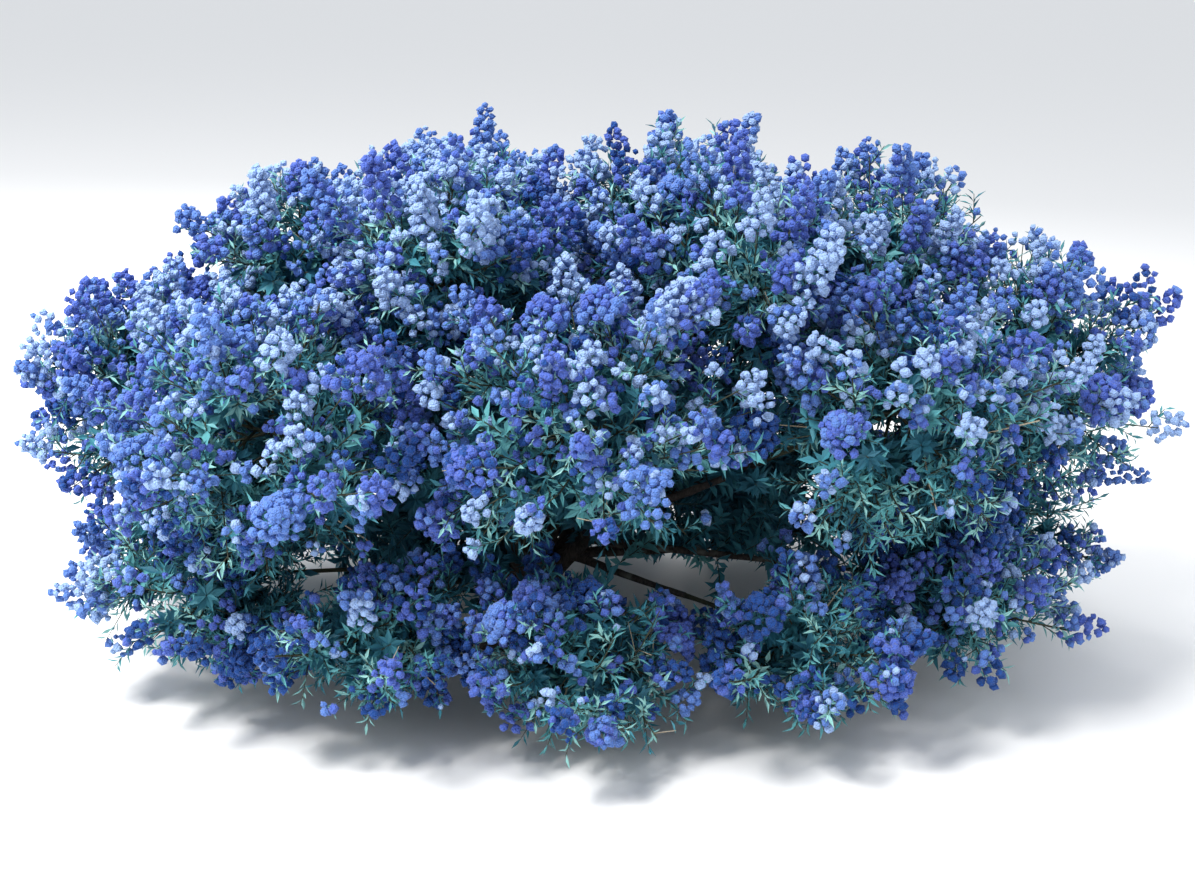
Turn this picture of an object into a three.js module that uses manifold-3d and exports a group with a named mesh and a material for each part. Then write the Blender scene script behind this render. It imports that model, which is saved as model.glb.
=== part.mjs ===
// California lilac: a wide, low-branched evergreen shrub in full blossom, about 3.1 m across and 1.4 m tall.
// A short leaning trunk stands on the ground and carries boughs; every bough ends where it enters one mass of
// foliage, and every mass is a leafy core with twigs, leaves and blossom heads standing out of it.
// Millimetres, +Z up, the front faces -Y. The origin is the middle of the trunk's flat cut at ground level.

import * as THREE from "three";
import { mergeVertices } from "three/addons/utils/BufferGeometryUtils.js";
import Module from "manifold-3d";

const wasm = await Module();
wasm.setup();

// ---------- driving sizes ----------

const CROWN = { middleX: 175, middleY: 60, halfWidth: 1500, halfDepth: 1090, hubHeight: 330 };

// Rings of foliage from the ground up. ring: where one runs, in shares of the crown's half width and half
// depth. first: bearing of its first mass in degrees from +X. frontLift, rightLift and endLift raise the masses
// at the front, at the right against the left, and at both ends. size: half sizes of one mass outwards,
// sideways and upwards. core: size of the leafy core against the whole mass.
const TIERS = [
  {
    name: "skirt", count: 12, ring: [0.69, 0.64], shift: -15, first: -90,
    height: 262, frontLift: 10, rightLift: 0, endLift: 90, size: [410, 480, 215], core: 0.84,
  },
  {
    name: "girdle", count: 8, ring: [0.72, 0.64], shift: -10, first: -90,
    height: 710, frontLift: 45, rightLift: 20, endLift: 15, size: [430, 560, 345], core: 0.76,
  },
  {
    name: "shoulder", count: 6, ring: [0.48, 0.42], shift: -30, first: -60,
    height: 985, frontLift: 35, rightLift: -20, endLift: 0, size: [420, 450, 335], core: 0.72,
  },
  {
    name: "top", count: 2, ring: [0.17, 0.03], shift: 5, first: 0,
    height: 1050, frontLift: 0, rightLift: 10, endLift: 0, size: [400, 430, 310], core: 0.72,
  },
];
const RING_FULLNESS = 0.85; // below 1 a ring is fuller than an ellipse between its four ends
const RING_EVENNESS = 0.12; // how far bearings turn to front and back, in radians, so that masses lie evenly
const PLACE_JITTER = 45; // how far a mass may stray from its place on the ring
const HEIGHT_JITTER = 0.6; // the same for its height, as a share of that
const SIZE_JITTER = 0.1; // share by which a mass may be larger or smaller

const TRUNK = {
  height: 235, leanX: 48, leanY: -12, sides: 13, lobes: 5, lobeDepth: 0.13, flareHeight: 130,
  rings: [[0, 118], [28, 92], [70, 76], [130, 70], [190, 66], [235, 44]], // height and radius
};

// How the boughs of each tier start and taper. rise: how steeply a bough leaves, 0 level and 1 upright.
const BOUGHS = {
  shoulder: { base: 25, tip: 11, rise: 0.62, sides: 7, steps: 5 },
  top: { base: 20, tip: 10, rise: 0.93, sides: 7, steps: 4 },
  girdle: { base: 14, tip: 8, rise: 0.35, sides: 5, steps: 3, leaves: 0.36 },
  skirt: { base: 12.5, tip: 7, rise: -0.05, sides: 5, steps: 3, leaves: 0.16 },
};
const BOUGH_BEND = 0.45; // where a bough's curve bends, as a share of its length
const BOUGH_START = { shoulder: 150, top: 200 }; // heights on the trunk's axis
const BOUGH_START_STEP = 22; // every other main bough starts this much higher
const SIDE_STEP = 0.1; // share of a main bough between two side boughs of one tier
const ENTRY_SHARE = 0.86; // where a bough ends, as a share of the mass's half size
const JOINT_GAP = 0.3; // clear gap at every joint between limbs
const LIMB_CLEARANCE = 7; // least gap from twigs, leaves and blossom to any limb

// The stem runs straight on from its bough, then through the mass's middle and a little past it.
const STEM = { straight: 40, pastCentre: 0.3, taper: [0.95, 0.9, 0.7], tip: 4, sides: 5 };
// Twigs leave the stem in golden-angle turns round the mass's outer pole. spread: how far round the mass they
// reach, from 0, the pole, to 2, its far side. from and along: the stretch of the stem that they leave.
const TWIG = {
  count: 10, radius: 3.6, tip: 2.2, sides: 3, spread: 1.25, droop: 0.1, least: 120, shorter: 30,
  from: 0.5, along: 0.45, stray: 0.04,
};
const SIDE_TWIG = { from: 0.5, angle: 42, length: 0.6, radius: 2.8, tip: 2, least: 70, shorter: 25 };
const POLE_UPTURN = 0.45; // how far the outer pole turns up from outwards
// A blossom head. low and high: its two rings, as shares of its length and of its radius. overhang: how far it
// passes its twig's tip, as a share of its length.
const HEAD = {
  length: 205, radius: 62, sides: 5, low: [0.32, 1], high: [0.72, 0.74],
  sunk: 0.4, overhang: 0.35, upturn: 0.4,
};
const SIDE_HEAD = 0.85; // size of a side twig's blossom head against the main one
const LEAF = { length: 110, width: 44, thickness: 6, widest: 0.42, sunk: 0.1, angle: 50, place: 0.72 };
const SPACE_MARGIN = 2; // least distance from the border between two masses
const CORE_MARGIN = 12;
const CORE_LUMPS = 0.1; // share by which the core's surface swells and shrinks
const GROUND_CLEARANCE = 38; // the foliage stays this far above the ground
const OUTLINE_PLAY = [0.9, 1.16]; // shortest and longest reach of a twig against its mass's half size
const HEAD_PLAY = 0.12; // how much further its blossom head and leaves may reach
const GOLDEN_ANGLE = Math.PI * (3 - Math.sqrt(5));
const REACH_STEP = 12; // step of every walk outwards through a mass's space
const LEAST_CORE = 20; // the core reaches at least this far from its middle
const FINEST = 0.01; // edges and slivers smaller than this are drawn together
const THINNEST_FACE = 0.006; // a piece whose fusing leaves a face thinner than this is left out

const BARK = new THREE.MeshStandardMaterial({ color: 0x3a3230, roughness: 0.95, metalness: 0 });
const LEAFAGE = new THREE.MeshStandardMaterial({ color: 0x24463f, roughness: 0.6, metalness: 0 });
const BLOSSOM = new THREE.MeshStandardMaterial({ color: 0x6478cf, roughness: 0.9, metalness: 0 });

// ---------- small helpers ----------

const vec = (x, y, z) => new THREE.Vector3(x, y, z);
const UP = vec(0, 0, 1);

/** A repeatable draw of numbers from 0 to 1. */
function dice(seed) {
  let state = Math.imul(seed + 11, 2654435761) >>> 0;
  return () => {
    state = (Math.imul(state, 1664525) + 1013904223) >>> 0;
    return state / 4294967296;
  };
}

/** The point a share of the way along a curve of three control points. */
function onCurve([start, bend, end], share) {
  const rest = 1 - share;
  return vec(0, 0, 0)
    .addScaledVector(start, rest * rest)
    .addScaledVector(bend, 2 * rest * share)
    .addScaledVector(end, share * share);
}

/** The point a share of the way along a line of points, counted by its pieces. */
function onLine(points, share) {
  const place = Math.min(share, 0.9999) * (points.length - 1);
  const piece = Math.floor(place);
  return points[piece].clone().lerp(points[piece + 1], place - piece);
}

/** Two directions square to an axis. */
function across(axis) {
  const side = Math.abs(axis.z) < 0.9 ? UP.clone().cross(axis) : vec(1, 0, 0).cross(axis);
  side.normalize();
  return [side, axis.clone().cross(side)];
}

/** A direction that leaves an axis by an angle, turned round it. */
function leaning(axis, angle, turn) {
  const [side, other] = across(axis);
  return axis.clone().multiplyScalar(Math.cos(angle))
    .addScaledVector(side, Math.sin(angle) * Math.cos(turn))
    .addScaledVector(other, Math.sin(angle) * Math.sin(turn));
}

/** A solid from points and triangles. */
function solid(points, triangles) {
  const geometry = new THREE.BufferGeometry().setFromPoints(points);
  geometry.setIndex(triangles.flat());
  return solidOf(geometry);
}

/** A solid from a closed geometry, with its shared vertices merged. */
function solidOf(geometry) {
  const bare = geometry.clone();
  bare.deleteAttribute("normal");
  bare.deleteAttribute("uv");
  const merged = mergeVertices(bare, 1e-3);
  return new wasm.Manifold(new wasm.Mesh({
    numProp: 3,
    vertProperties: merged.getAttribute("position").array,
    triVerts: Uint32Array.from(merged.index.array),
  }));
}

/** A solid skinned over rings of points, each closed by a fan at both ends. */
function skinned(rings) {
  const sides = rings[0].length;
  const points = rings.flat();
  const triangles = [];
  for (let ring = 0; ring + 1 < rings.length; ring++) {
    for (let i = 0; i < sides; i++) {
      const next = (i + 1) % sides;
      const [a, b] = [ring * sides + i, ring * sides + next];
      triangles.push([a, b, b + sides], [a, b + sides, a + sides]);
    }
  }
  const last = (rings.length - 1) * sides;
  for (let i = 1; i + 1 < sides; i++) {
    triangles.push([0, i + 1, i], [last, last + i, last + i + 1]);
  }
  return solid(points, triangles);
}

/** A closed tube of flat sides along a line of points, with its own radius at each point. */
function tube(points, radii, sides, swell = 0) {
  let [side] = across(points[1].clone().sub(points[0]).normalize());
  const rings = points.map((point, i) => {
    const before = points[Math.max(i - 1, 0)];
    const after = points[Math.min(i + 1, points.length - 1)];
    const axis = after.clone().sub(before).normalize();
    side = side.clone().addScaledVector(axis, -side.dot(axis)).normalize();
    const other = axis.clone().cross(side);
    const end = i === 0 ? -swell : i === points.length - 1 ? swell : 0;
    return Array.from({ length: sides }, (_, k) => {
      const turn = (2 * Math.PI * k) / sides;
      return point.clone().addScaledVector(axis, end)
        .addScaledVector(side, (radii[i] + swell) * Math.cos(turn))
        .addScaledVector(other, (radii[i] + swell) * Math.sin(turn));
    });
  });
  return skinned(rings);
}

// ---------- trunk and boughs ----------

const trunkAxis = (height) =>
  vec(TRUNK.leanX * (height / TRUNK.height), TRUNK.leanY * (height / TRUNK.height), height);

/** The trunk: a flat cut at the ground, a lobed root flare, a slight lean and a domed head. */
function trunkSolid(swell = 0) {
  const rings = TRUNK.rings.map(([height, radius], i) => {
    const middle = trunkAxis(height);
    const flare = Math.max(0, 1 - height / TRUNK.flareHeight);
    const end = i === TRUNK.rings.length - 1 ? swell : 0;
    return Array.from({ length: TRUNK.sides }, (_, k) => {
      const turn = (2 * Math.PI * k) / TRUNK.sides;
      const reach = radius * (1 + TRUNK.lobeDepth * flare * Math.cos(TRUNK.lobes * turn)) + swell;
      return vec(middle.x + reach * Math.cos(turn), middle.y + reach * Math.sin(turn), middle.z + end);
    });
  });
  return skinned(rings);
}

/** A bough's curve from a start to the place where it enters its mass. */
function boughCurve(start, end, rise) {
  const level = vec(end.x - start.x, end.y - start.y, 0);
  const bend = end.distanceTo(start) * BOUGH_BEND;
  const lean = level.normalize().multiplyScalar(Math.sqrt(1 - rise * rise)).addScaledVector(UP, rise);
  return [start, start.clone().addScaledVector(lean, bend), end];
}

// ---------- masses of foliage ----------

/** Draws a share from -1 to 1 out towards its end, which makes a ring fuller than an ellipse. */
const fuller = (share) => Math.sign(share) * Math.abs(share) ** RING_FULLNESS;

/** Places every mass: its middle, its directions (outwards, sideways, up), its half sizes and its weight. */
function placeMasses() {
  const masses = [];
  TIERS.forEach((tier, level) => {
    for (let i = 0; i < tier.count; i++) {
      const draw = dice(100 * level + i + 1);
      const turn = THREE.MathUtils.degToRad(tier.first + (360 * i) / tier.count);
      const bearing = turn + RING_EVENNESS * Math.sin(2 * turn);
      const [east, north] = [fuller(Math.cos(bearing)), fuller(Math.sin(bearing))];
      const stray = () => (2 * draw() - 1) * PLACE_JITTER;
      const lift = Math.max(-north, 0) * tier.frontLift + east * tier.rightLift + east ** 4 * tier.endLift;
      const middle = vec(
        CROWN.middleX + tier.shift + east * tier.ring[0] * CROWN.halfWidth + stray(),
        CROWN.middleY + north * tier.ring[1] * CROWN.halfDepth + stray(),
        tier.height + lift + stray() * HEIGHT_JITTER,
      );
      const scale = 1 + (2 * draw() - 1) * SIZE_JITTER;
      const outward = vec(middle.x - CROWN.middleX, middle.y - CROWN.middleY, 0).normalize();
      masses.push({
        tier: tier.name,
        number: i,
        bearing,
        middle,
        axes: [outward, UP.clone().cross(outward), UP],
        size: tier.size.map((half) => half * scale),
        core: tier.core,
        draw,
      });
    }
  });
  for (const mass of masses) mass.weight = (mass.size[0] * mass.size[1] * mass.size[2]) ** (2 / 3);
  return masses;
}

/** How far out a point lies in its mass: 1 on the mass's own ellipsoid. */
function depthIn(mass, point) {
  const from = point.clone().sub(mass.middle);
  return Math.hypot(...mass.axes.map((axis, i) => from.dot(axis) / mass.size[i]));
}

/** True if a point keeps to a mass's own space, at least a margin from its neighbours and the ground. */
function inSpace(mass, point, margin, outline = 1) {
  if (point.z < GROUND_CLEARANCE + margin || depthIn(mass, point) > outline) return false;
  const own = point.distanceToSquared(mass.middle) - mass.weight;
  return masses.every((other) => {
    if (other === mass) return true;
    const theirs = point.distanceToSquared(other.middle) - other.weight;
    return theirs - own >= 2 * (margin + SPACE_MARGIN) * other.middle.distanceTo(mass.middle);
  });
}

/** What a mass keeps clear of: every limb, and the stems of the other masses. */
const obstaclesOf = (mass) => [...limbs, ...masses.filter((other) => other !== mass).map(({ stem }) => stem)];

/** True if a point is at least a clearance from everything that its mass keeps clear of. */
function isClear(mass, point, clearance) {
  return mass.obstacles.every((limb) => {
    for (let i = 0; i + 1 < limb.points.length; i++) {
      const piece = new THREE.Line3(limb.points[i], limb.points[i + 1]);
      const share = piece.closestPointToPointParameter(point, true);
      const radius = limb.radii[i] + (limb.radii[i + 1] - limb.radii[i]) * share;
      if (piece.at(share, vec(0, 0, 0)).distanceTo(point) < radius + clearance) return false;
    }
    return true;
  });
}

/** How far a ray from the mass's middle can go, up to a most, before it leaves the mass's space. */
function reachAlong(mass, way, margin, outline, most) {
  const onRay = (length) => mass.middle.clone().addScaledVector(way, length);
  let length = 0;
  while (length + REACH_STEP <= most && inSpace(mass, onRay(length + REACH_STEP), margin, outline)) {
    length += REACH_STEP;
  }
  return length;
}

/** How far a ray from the mass's middle runs to the mass's ellipsoid. */
function ellipsoidReach(mass, way) {
  return 1 / Math.hypot(...mass.axes.map((axis, i) => way.dot(axis) / mass.size[i]));
}

/** The leafy core: a ball, turned by a phase, drawn in until it keeps to the mass's space. */
function coreSolid(mass, phase) {
  const ball = new THREE.IcosahedronGeometry(1, 1).rotateZ(phase).rotateX(phase / 3);
  const place = ball.getAttribute("position");
  for (let i = 0; i < place.count; i++) {
    const way = vec(place.getX(i), place.getY(i), place.getZ(i)).normalize();
    const lump = 1 + CORE_LUMPS * Math.sin(5 * way.x + phase) * Math.cos(5 * way.y - phase);
    const most = ellipsoidReach(mass, way) * mass.core * lump;
    const reach = Math.max(reachAlong(mass, way, CORE_MARGIN, 1, most), LEAST_CORE);
    const corner = mass.middle.clone().addScaledVector(way, reach);
    place.setXYZ(i, corner.x, corner.y, corner.z);
  }
  let core = solidOf(ball);
  for (const limb of mass.obstacles) core = core.subtract(limb.swollen(LIMB_CLEARANCE));
  return largest(core);
}

/** The largest of a solid's separate bodies, without slivers. */
function largest(shape) {
  return shape.simplify(FINEST).decompose().sort((a, b) => b.volume() - a.volume())[0];
}

/** True if every edge joins exactly two faces and no two edges from one corner lie along each other. */
function isSound(shape) {
  const { vertProperties, triVerts } = shape.getMesh();
  const faces = new Map();
  const ends = new Map();
  for (let t = 0; t < triVerts.length; t += 3) {
    const corners = [0, 1, 2].map((i) => vec(0, 0, 0).fromArray(vertProperties, 3 * triVerts[t + i]));
    const places = corners.map((corner) => corner.toArray().map((size) => Math.round(size * 1e3)).join());
    places.forEach((place, i) => {
      const next = (i + 1) % 3;
      const edge = [place, places[next]].sort().join(" ");
      faces.set(edge, (faces.get(edge) ?? 0) + 1);
      if (!ends.has(place)) ends.set(place, []);
      ends.get(place).push(corners[next].clone().sub(corners[i]));
    });
  }
  if ([...faces.values()].some((count) => count !== 2)) return false;
  const alongEachOther = (a, b) =>
    a.dot(b) > 0 && a.clone().cross(b).length() / Math.max(a.length(), b.length()) < THINNEST_FACE;
  return [...ends.values()].every((ways) =>
    ways.every((way, i) => !ways.slice(i + 1).some((other) => alongEachOther(way, other))));
}

/** A blossom head: a blunt spindle of flat sides from a root to its tip. */
function headSolid(root, way, size) {
  const sides = HEAD.sides;
  const [side, other] = across(way);
  const ring = (share, width, twist) => Array.from({ length: sides }, (_, k) => {
    const turn = (2 * Math.PI * (k + twist)) / sides;
    return root.clone().addScaledVector(way, share * HEAD.length * size)
      .addScaledVector(side, width * HEAD.radius * size * Math.cos(turn))
      .addScaledVector(other, width * HEAD.radius * size * Math.sin(turn));
  });
  const tipPoint = root.clone().addScaledVector(way, HEAD.length * size);
  const points = [root, ...ring(...HEAD.low, 0), ...ring(...HEAD.high, 0.5), tipPoint];
  const triangles = [];
  const tip = 2 * sides + 1;
  for (let k = 0; k < sides; k++) {
    const next = (k + 1) % sides;
    const [low, lowNext, high, highNext] = [1 + k, 1 + next, 1 + sides + k, 1 + sides + next];
    triangles.push([0, lowNext, low], [low, lowNext, high], [lowNext, highNext, high], [high, highNext, tip]);
  }
  return solid(points, triangles);
}

/** One leaf: a flat eight-faced blade whose root is sunk in its twig. */
function leafPoints(root, way, normal) {
  const side = way.clone().cross(normal);
  const at = (along, sideways, lift) => root.clone().addScaledVector(way, along * LEAF.length)
    .addScaledVector(side, sideways).addScaledVector(normal, lift);
  return [
    at(-LEAF.sunk, 0, 0), at(LEAF.widest, LEAF.width / 2, 0), at(LEAF.widest, 0, LEAF.thickness / 2),
    at(LEAF.widest, -LEAF.width / 2, 0), at(LEAF.widest, 0, -LEAF.thickness / 2), at(1 - LEAF.sunk, 0, 0),
  ];
}
const LEAF_FACES = [[0, 2, 1], [0, 3, 2], [0, 4, 3], [0, 1, 4], [5, 1, 2], [5, 2, 3], [5, 3, 4], [5, 4, 1]];

/** The blossom head's direction: the twig's own, turned up towards the light. */
const headWay = (way) => way.clone().addScaledVector(UP, HEAD.upturn).normalize();

/** True if a twig and the blossom head at its tip keep to the mass's space and clear of the limbs. */
function fits(mass, line, size, outline) {
  const tip = line[line.length - 1];
  const way = headWay(tip.clone().sub(line[line.length - 2]).normalize());
  const root = tip.clone().addScaledVector(way, -HEAD.sunk * HEAD.length * size);
  const belly = HEAD.radius * size;
  const lower = HEAD.low.map((share) => share / 2);
  const spots = [lower, HEAD.low, HEAD.high, [1, 0]].map(([share, width]) =>
    [root.clone().addScaledVector(way, share * HEAD.length * size), width * belly]);
  const twigSpots = [0.25, 0.5, 0.75, 1].map((share) => [onLine(line, share), TWIG.radius]);
  return [...spots, ...twigSpots].every(([point, radius]) =>
    inSpace(mass, point, radius, outline + HEAD_PLAY) && isClear(mass, point, radius + LIMB_CLEARANCE));
}

/** A twig's line of points from its start: it sets out a little below its way and turns up to its tip. */
function twigLine(start, tip) {
  const bend = start.clone().lerp(tip, 0.5).addScaledVector(UP, -TWIG.droop * start.distanceTo(tip));
  return [start, bend, tip];
}

/** The direction from the crown's hub to a mass. */
const outwardOf = (mass) =>
  mass.middle.clone().sub(vec(CROWN.middleX, CROWN.middleY, CROWN.hubHeight)).normalize();

/** A mass's stem: its line, radii and solid. */
function stemOf(mass) {
  const { end, way, tip } = mass.bough;
  const start = end.clone().addScaledVector(way, JOINT_GAP);
  const outward = outwardOf(mass);
  const points = [
    start,
    start.clone().addScaledVector(way, STEM.straight),
    mass.middle.clone(),
    mass.middle.clone().addScaledVector(outward, STEM.pastCentre * ellipsoidReach(mass, outward)),
  ];
  const radii = [...STEM.taper.map((share) => share * tip), STEM.tip];
  return { points, radii, swollen: (swell) => tube(points, radii, STEM.sides, swell) };
}

/** Grows one mass: stem, twigs, side twigs, blossom heads and leaves, fused with the core. */
function growMass(mass) {
  const { draw } = mass;
  const outward = outwardOf(mass);
  const stem = mass.stem.swollen(0);
  const stemLine = mass.stem.points;
  let grown = null;
  while (grown === null || !isSound(grown)) grown = largest(stem.add(coreSolid(mass, draw() * Math.PI)));
  const pole = outward.clone().addScaledVector(UP, POLE_UPTURN).normalize();
  const firstTurn = draw() * 2 * Math.PI;

  /** Fuses more pieces on, unless the surface would then touch itself. */
  const fuse = (...pieces) => {
    const fused = largest(wasm.Manifold.union([grown, ...pieces]));
    if (!isSound(fused)) return false;
    grown = fused;
    return true;
  };

  /** Adds a twig with the blossom head at its tip, if both fit. */
  const addTwig = (line, radius, tipRadius, size, outline) => {
    if (!fits(mass, line, size, outline)) return false;
    const twig = tube(line, [radius, (radius + tipRadius) / 2, tipRadius], TWIG.sides);
    const aim = headWay(line[2].clone().sub(line[1]).normalize());
    const root = line[2].clone().addScaledVector(aim, -HEAD.sunk * HEAD.length * size);
    return fuse(twig, headSolid(root, aim, size));
  };

  /** Adds a leaf to a twig, if it fits. */
  const addLeaf = (line, turn, outline) => {
    const root = onLine(line, LEAF.place);
    const axis = line[2].clone().sub(line[1]).normalize();
    const leafWay = leaning(axis, THREE.MathUtils.degToRad(LEAF.angle), turn);
    const normal = leafWay.clone().cross(axis.clone().cross(leafWay)).normalize();
    const points = leafPoints(root, leafWay, normal);
    const outer = points.slice(1);
    if (outer.every((p) => inSpace(mass, p, 0, outline + HEAD_PLAY) && isClear(mass, p, LIMB_CLEARANCE))) {
      fuse(solid(points, LEAF_FACES));
    }
  };

  for (let k = 0; k < TWIG.count; k++) {
    const [stretch, jitter, turnShare, sideShare] = [draw(), draw(), draw(), draw()];
    const cosine = 1 - ((k + 0.5) / TWIG.count) * TWIG.spread;
    const twigWay = leaning(pole, Math.acos(cosine), firstTurn + k * GOLDEN_ANGLE);
    const outline = OUTLINE_PLAY[0] + (OUTLINE_PLAY[1] - OUTLINE_PLAY[0]) * stretch;
    const along = TWIG.along * ((cosine + 1) / 2) + TWIG.stray * (jitter - 0.5);
    const start = onLine(stemLine, TWIG.from + along);
    const most = ellipsoidReach(mass, twigWay) * outline;
    let reach = reachAlong(mass, twigWay, HEAD.radius, outline, most) - HEAD.length * HEAD.overhang;
    let line = null;
    let stands = false;
    while (!stands && reach > TWIG.least) {
      line = twigLine(start, mass.middle.clone().addScaledVector(twigWay, reach));
      stands = addTwig(line, TWIG.radius, TWIG.tip, 1, outline);
      reach -= TWIG.shorter;
    }
    if (!stands) continue;
    addLeaf(line, turnShare * 2 * Math.PI, outline);
    const axis = line[2].clone().sub(line[0]).normalize();
    const sideStart = onLine(line, SIDE_TWIG.from);
    const sideWay = leaning(axis, THREE.MathUtils.degToRad(SIDE_TWIG.angle), (sideShare + 0.5) * 2 * Math.PI);
    let length = line[2].distanceTo(line[0]) * SIDE_TWIG.length;
    stands = false;
    while (!stands && length > SIDE_TWIG.least) {
      const sideLine = twigLine(sideStart, sideStart.clone().addScaledVector(sideWay, length));
      stands = addTwig(sideLine, SIDE_TWIG.radius, SIDE_TWIG.tip, SIDE_HEAD, outline);
      length -= SIDE_TWIG.shorter;
    }
  }
  return grown;
}

// ---------- the whole plant ----------

const masses = placeMasses();
const limbs = [];

/** Adds one limb: its line, radii and solid, cut clear of the limbs that stand already. */
function addLimb(name, points, radii, sides) {
  const swollen = (swell) => tube(points, radii, sides, swell);
  const cut = limbs.reduce((shape, limb) => shape.subtract(limb.swollen(JOINT_GAP)), swollen(0));
  const limb = { name, points, radii, swollen, shape: largest(cut) };
  limbs.push(limb);
  return limb;
}

/** Grows the bough of one mass from a start on the limb that carries it. */
function addBough(mass, start) {
  const kind = BOUGHS[mass.tier];
  const back = start.clone().sub(mass.middle).normalize();
  const end = mass.middle.clone().addScaledVector(back, ellipsoidReach(mass, back) * ENTRY_SHARE);
  const curve = boughCurve(start, end, kind.rise);
  const shares = Array.from({ length: kind.steps + 1 }, (_, i) => i / kind.steps);
  const points = shares.map((share) => onCurve(curve, share));
  const radii = shares.map((share) => kind.base + (kind.tip - kind.base) * share ** 0.8);
  const limb = addLimb(mass.tier + "_bough_" + (mass.number + 1), points, radii, kind.sides);
  const way = points[points.length - 1].clone().sub(points[points.length - 2]).normalize();
  mass.bough = { end, way, tip: kind.tip };
  limb.curve = curve;
  limb.bearing = mass.bearing;
  return limb;
}

const trunk = {
  name: "trunk",
  points: TRUNK.rings.map(([height]) => trunkAxis(height)),
  radii: TRUNK.rings.map(([, radius]) => radius),
  swollen: trunkSolid,
  shape: trunkSolid(),
};
limbs.push(trunk);

const ofTier = (name) => masses.filter((mass) => mass.tier === name);
const mainBoughs = ofTier("shoulder").map((mass, i) =>
  addBough(mass, trunkAxis(BOUGH_START.shoulder + (i % 2) * BOUGH_START_STEP)));
ofTier("top").forEach((mass) => addBough(mass, trunkAxis(BOUGH_START.top)));

/** How far apart two bearings are. */
const apart = (a, b) => Math.abs(Math.atan2(Math.sin(a - b), Math.cos(a - b)));

for (const tier of ["girdle", "skirt"]) {
  const carried = new Map();
  for (const mass of ofTier(tier)) {
    const turnTo = (bough) => apart(bough.bearing, mass.bearing);
    const [carrier] = [...mainBoughs].sort((a, b) => turnTo(a) - turnTo(b));
    const already = carried.get(carrier) ?? 0;
    carried.set(carrier, already + 1);
    addBough(mass, onCurve(carrier.curve, BOUGHS[tier].leaves + already * SIDE_STEP));
  }
}

for (const mass of masses) mass.stem = stemOf(mass);
for (const mass of masses) mass.obstacles = obstaclesOf(mass);

/** A mesh of one solid, under its plain name. */
function meshOf(shape, name, material) {
  const { vertProperties, triVerts } = shape.getMesh();
  const geometry = new THREE.BufferGeometry();
  geometry.setAttribute("position", new THREE.BufferAttribute(Float32Array.from(vertProperties), 3));
  geometry.setIndex(new THREE.BufferAttribute(Uint32Array.from(triVerts), 1));
  geometry.computeVertexNormals();
  const mesh = new THREE.Mesh(geometry, material);
  mesh.name = name;
  return mesh;
}

const shrub = new THREE.Group();
for (const limb of limbs) shrub.add(meshOf(limb.shape, limb.name, BARK));
for (const mass of masses) {
  const finish = mass.tier === "skirt" ? LEAFAGE : BLOSSOM;
  shrub.add(meshOf(growMass(mass), mass.tier + "_foliage_" + (mass.number + 1), finish));
}

export default shrub;
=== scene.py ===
"""A california lilac shrub in full blossom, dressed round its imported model.

The limbs carry masses of foliage. Each mass is grown again here by the rule that the model's solids follow,
from one stem that runs on from its bough, and carried on to finer twigs, shoots, leaves and flowers in that
space. Metres, +Z up, front towards -Y, origin in the middle of the trunk's cut at ground level.
"""

import json
import logging
import math
from collections.abc import Iterator
from dataclasses import dataclass, field, fields
from enum import Enum

import bpy
import numpy as np
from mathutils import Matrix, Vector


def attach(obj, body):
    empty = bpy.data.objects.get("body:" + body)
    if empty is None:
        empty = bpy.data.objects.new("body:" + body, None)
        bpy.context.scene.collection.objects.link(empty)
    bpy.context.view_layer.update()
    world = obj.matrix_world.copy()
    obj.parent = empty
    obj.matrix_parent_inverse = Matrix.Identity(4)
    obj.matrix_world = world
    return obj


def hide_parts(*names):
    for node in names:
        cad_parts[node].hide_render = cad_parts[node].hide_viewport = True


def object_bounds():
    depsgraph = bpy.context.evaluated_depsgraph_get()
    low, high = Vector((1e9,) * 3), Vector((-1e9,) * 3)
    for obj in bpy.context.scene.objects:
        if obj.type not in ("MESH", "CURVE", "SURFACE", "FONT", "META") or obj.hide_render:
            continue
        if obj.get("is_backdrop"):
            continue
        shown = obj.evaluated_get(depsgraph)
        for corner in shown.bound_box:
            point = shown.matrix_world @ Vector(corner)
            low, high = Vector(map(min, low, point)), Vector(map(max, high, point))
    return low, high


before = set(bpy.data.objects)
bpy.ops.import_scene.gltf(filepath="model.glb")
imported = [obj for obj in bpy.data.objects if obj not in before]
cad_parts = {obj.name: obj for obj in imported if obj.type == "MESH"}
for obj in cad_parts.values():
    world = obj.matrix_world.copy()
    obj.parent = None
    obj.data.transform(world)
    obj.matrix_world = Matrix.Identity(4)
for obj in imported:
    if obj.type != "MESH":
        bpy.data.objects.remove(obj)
CAD_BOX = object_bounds()

Array = np.ndarray
Material = bpy.types.Material
Node = bpy.types.Node
Point = tuple[float, float, float]
Span = tuple[float, float]

LOG = logging.getLogger("lilac")
BODY = "root"
UP = np.array([0.0, 0.0, 1.0])
LEVEL = np.array([1.0, 1.0, 0.0])
GOLDEN_ANGLE = math.pi * (3 - math.sqrt(5))
TINY = 1e-12
NEAR_UPRIGHT = 0.9  # height of a unit vector from which +X helps to find its sides instead of +Z
LAST_SHARE = 0.9999  # of a line, so that its last point still falls in its last piece
ANY_TURN = 7.0  # radians, a little more than all the way round
MOST_TRIANGLES = 180_000  # in one joined piece
SEED = 20


# ---------- small helpers on whole arrays ----------


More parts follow.
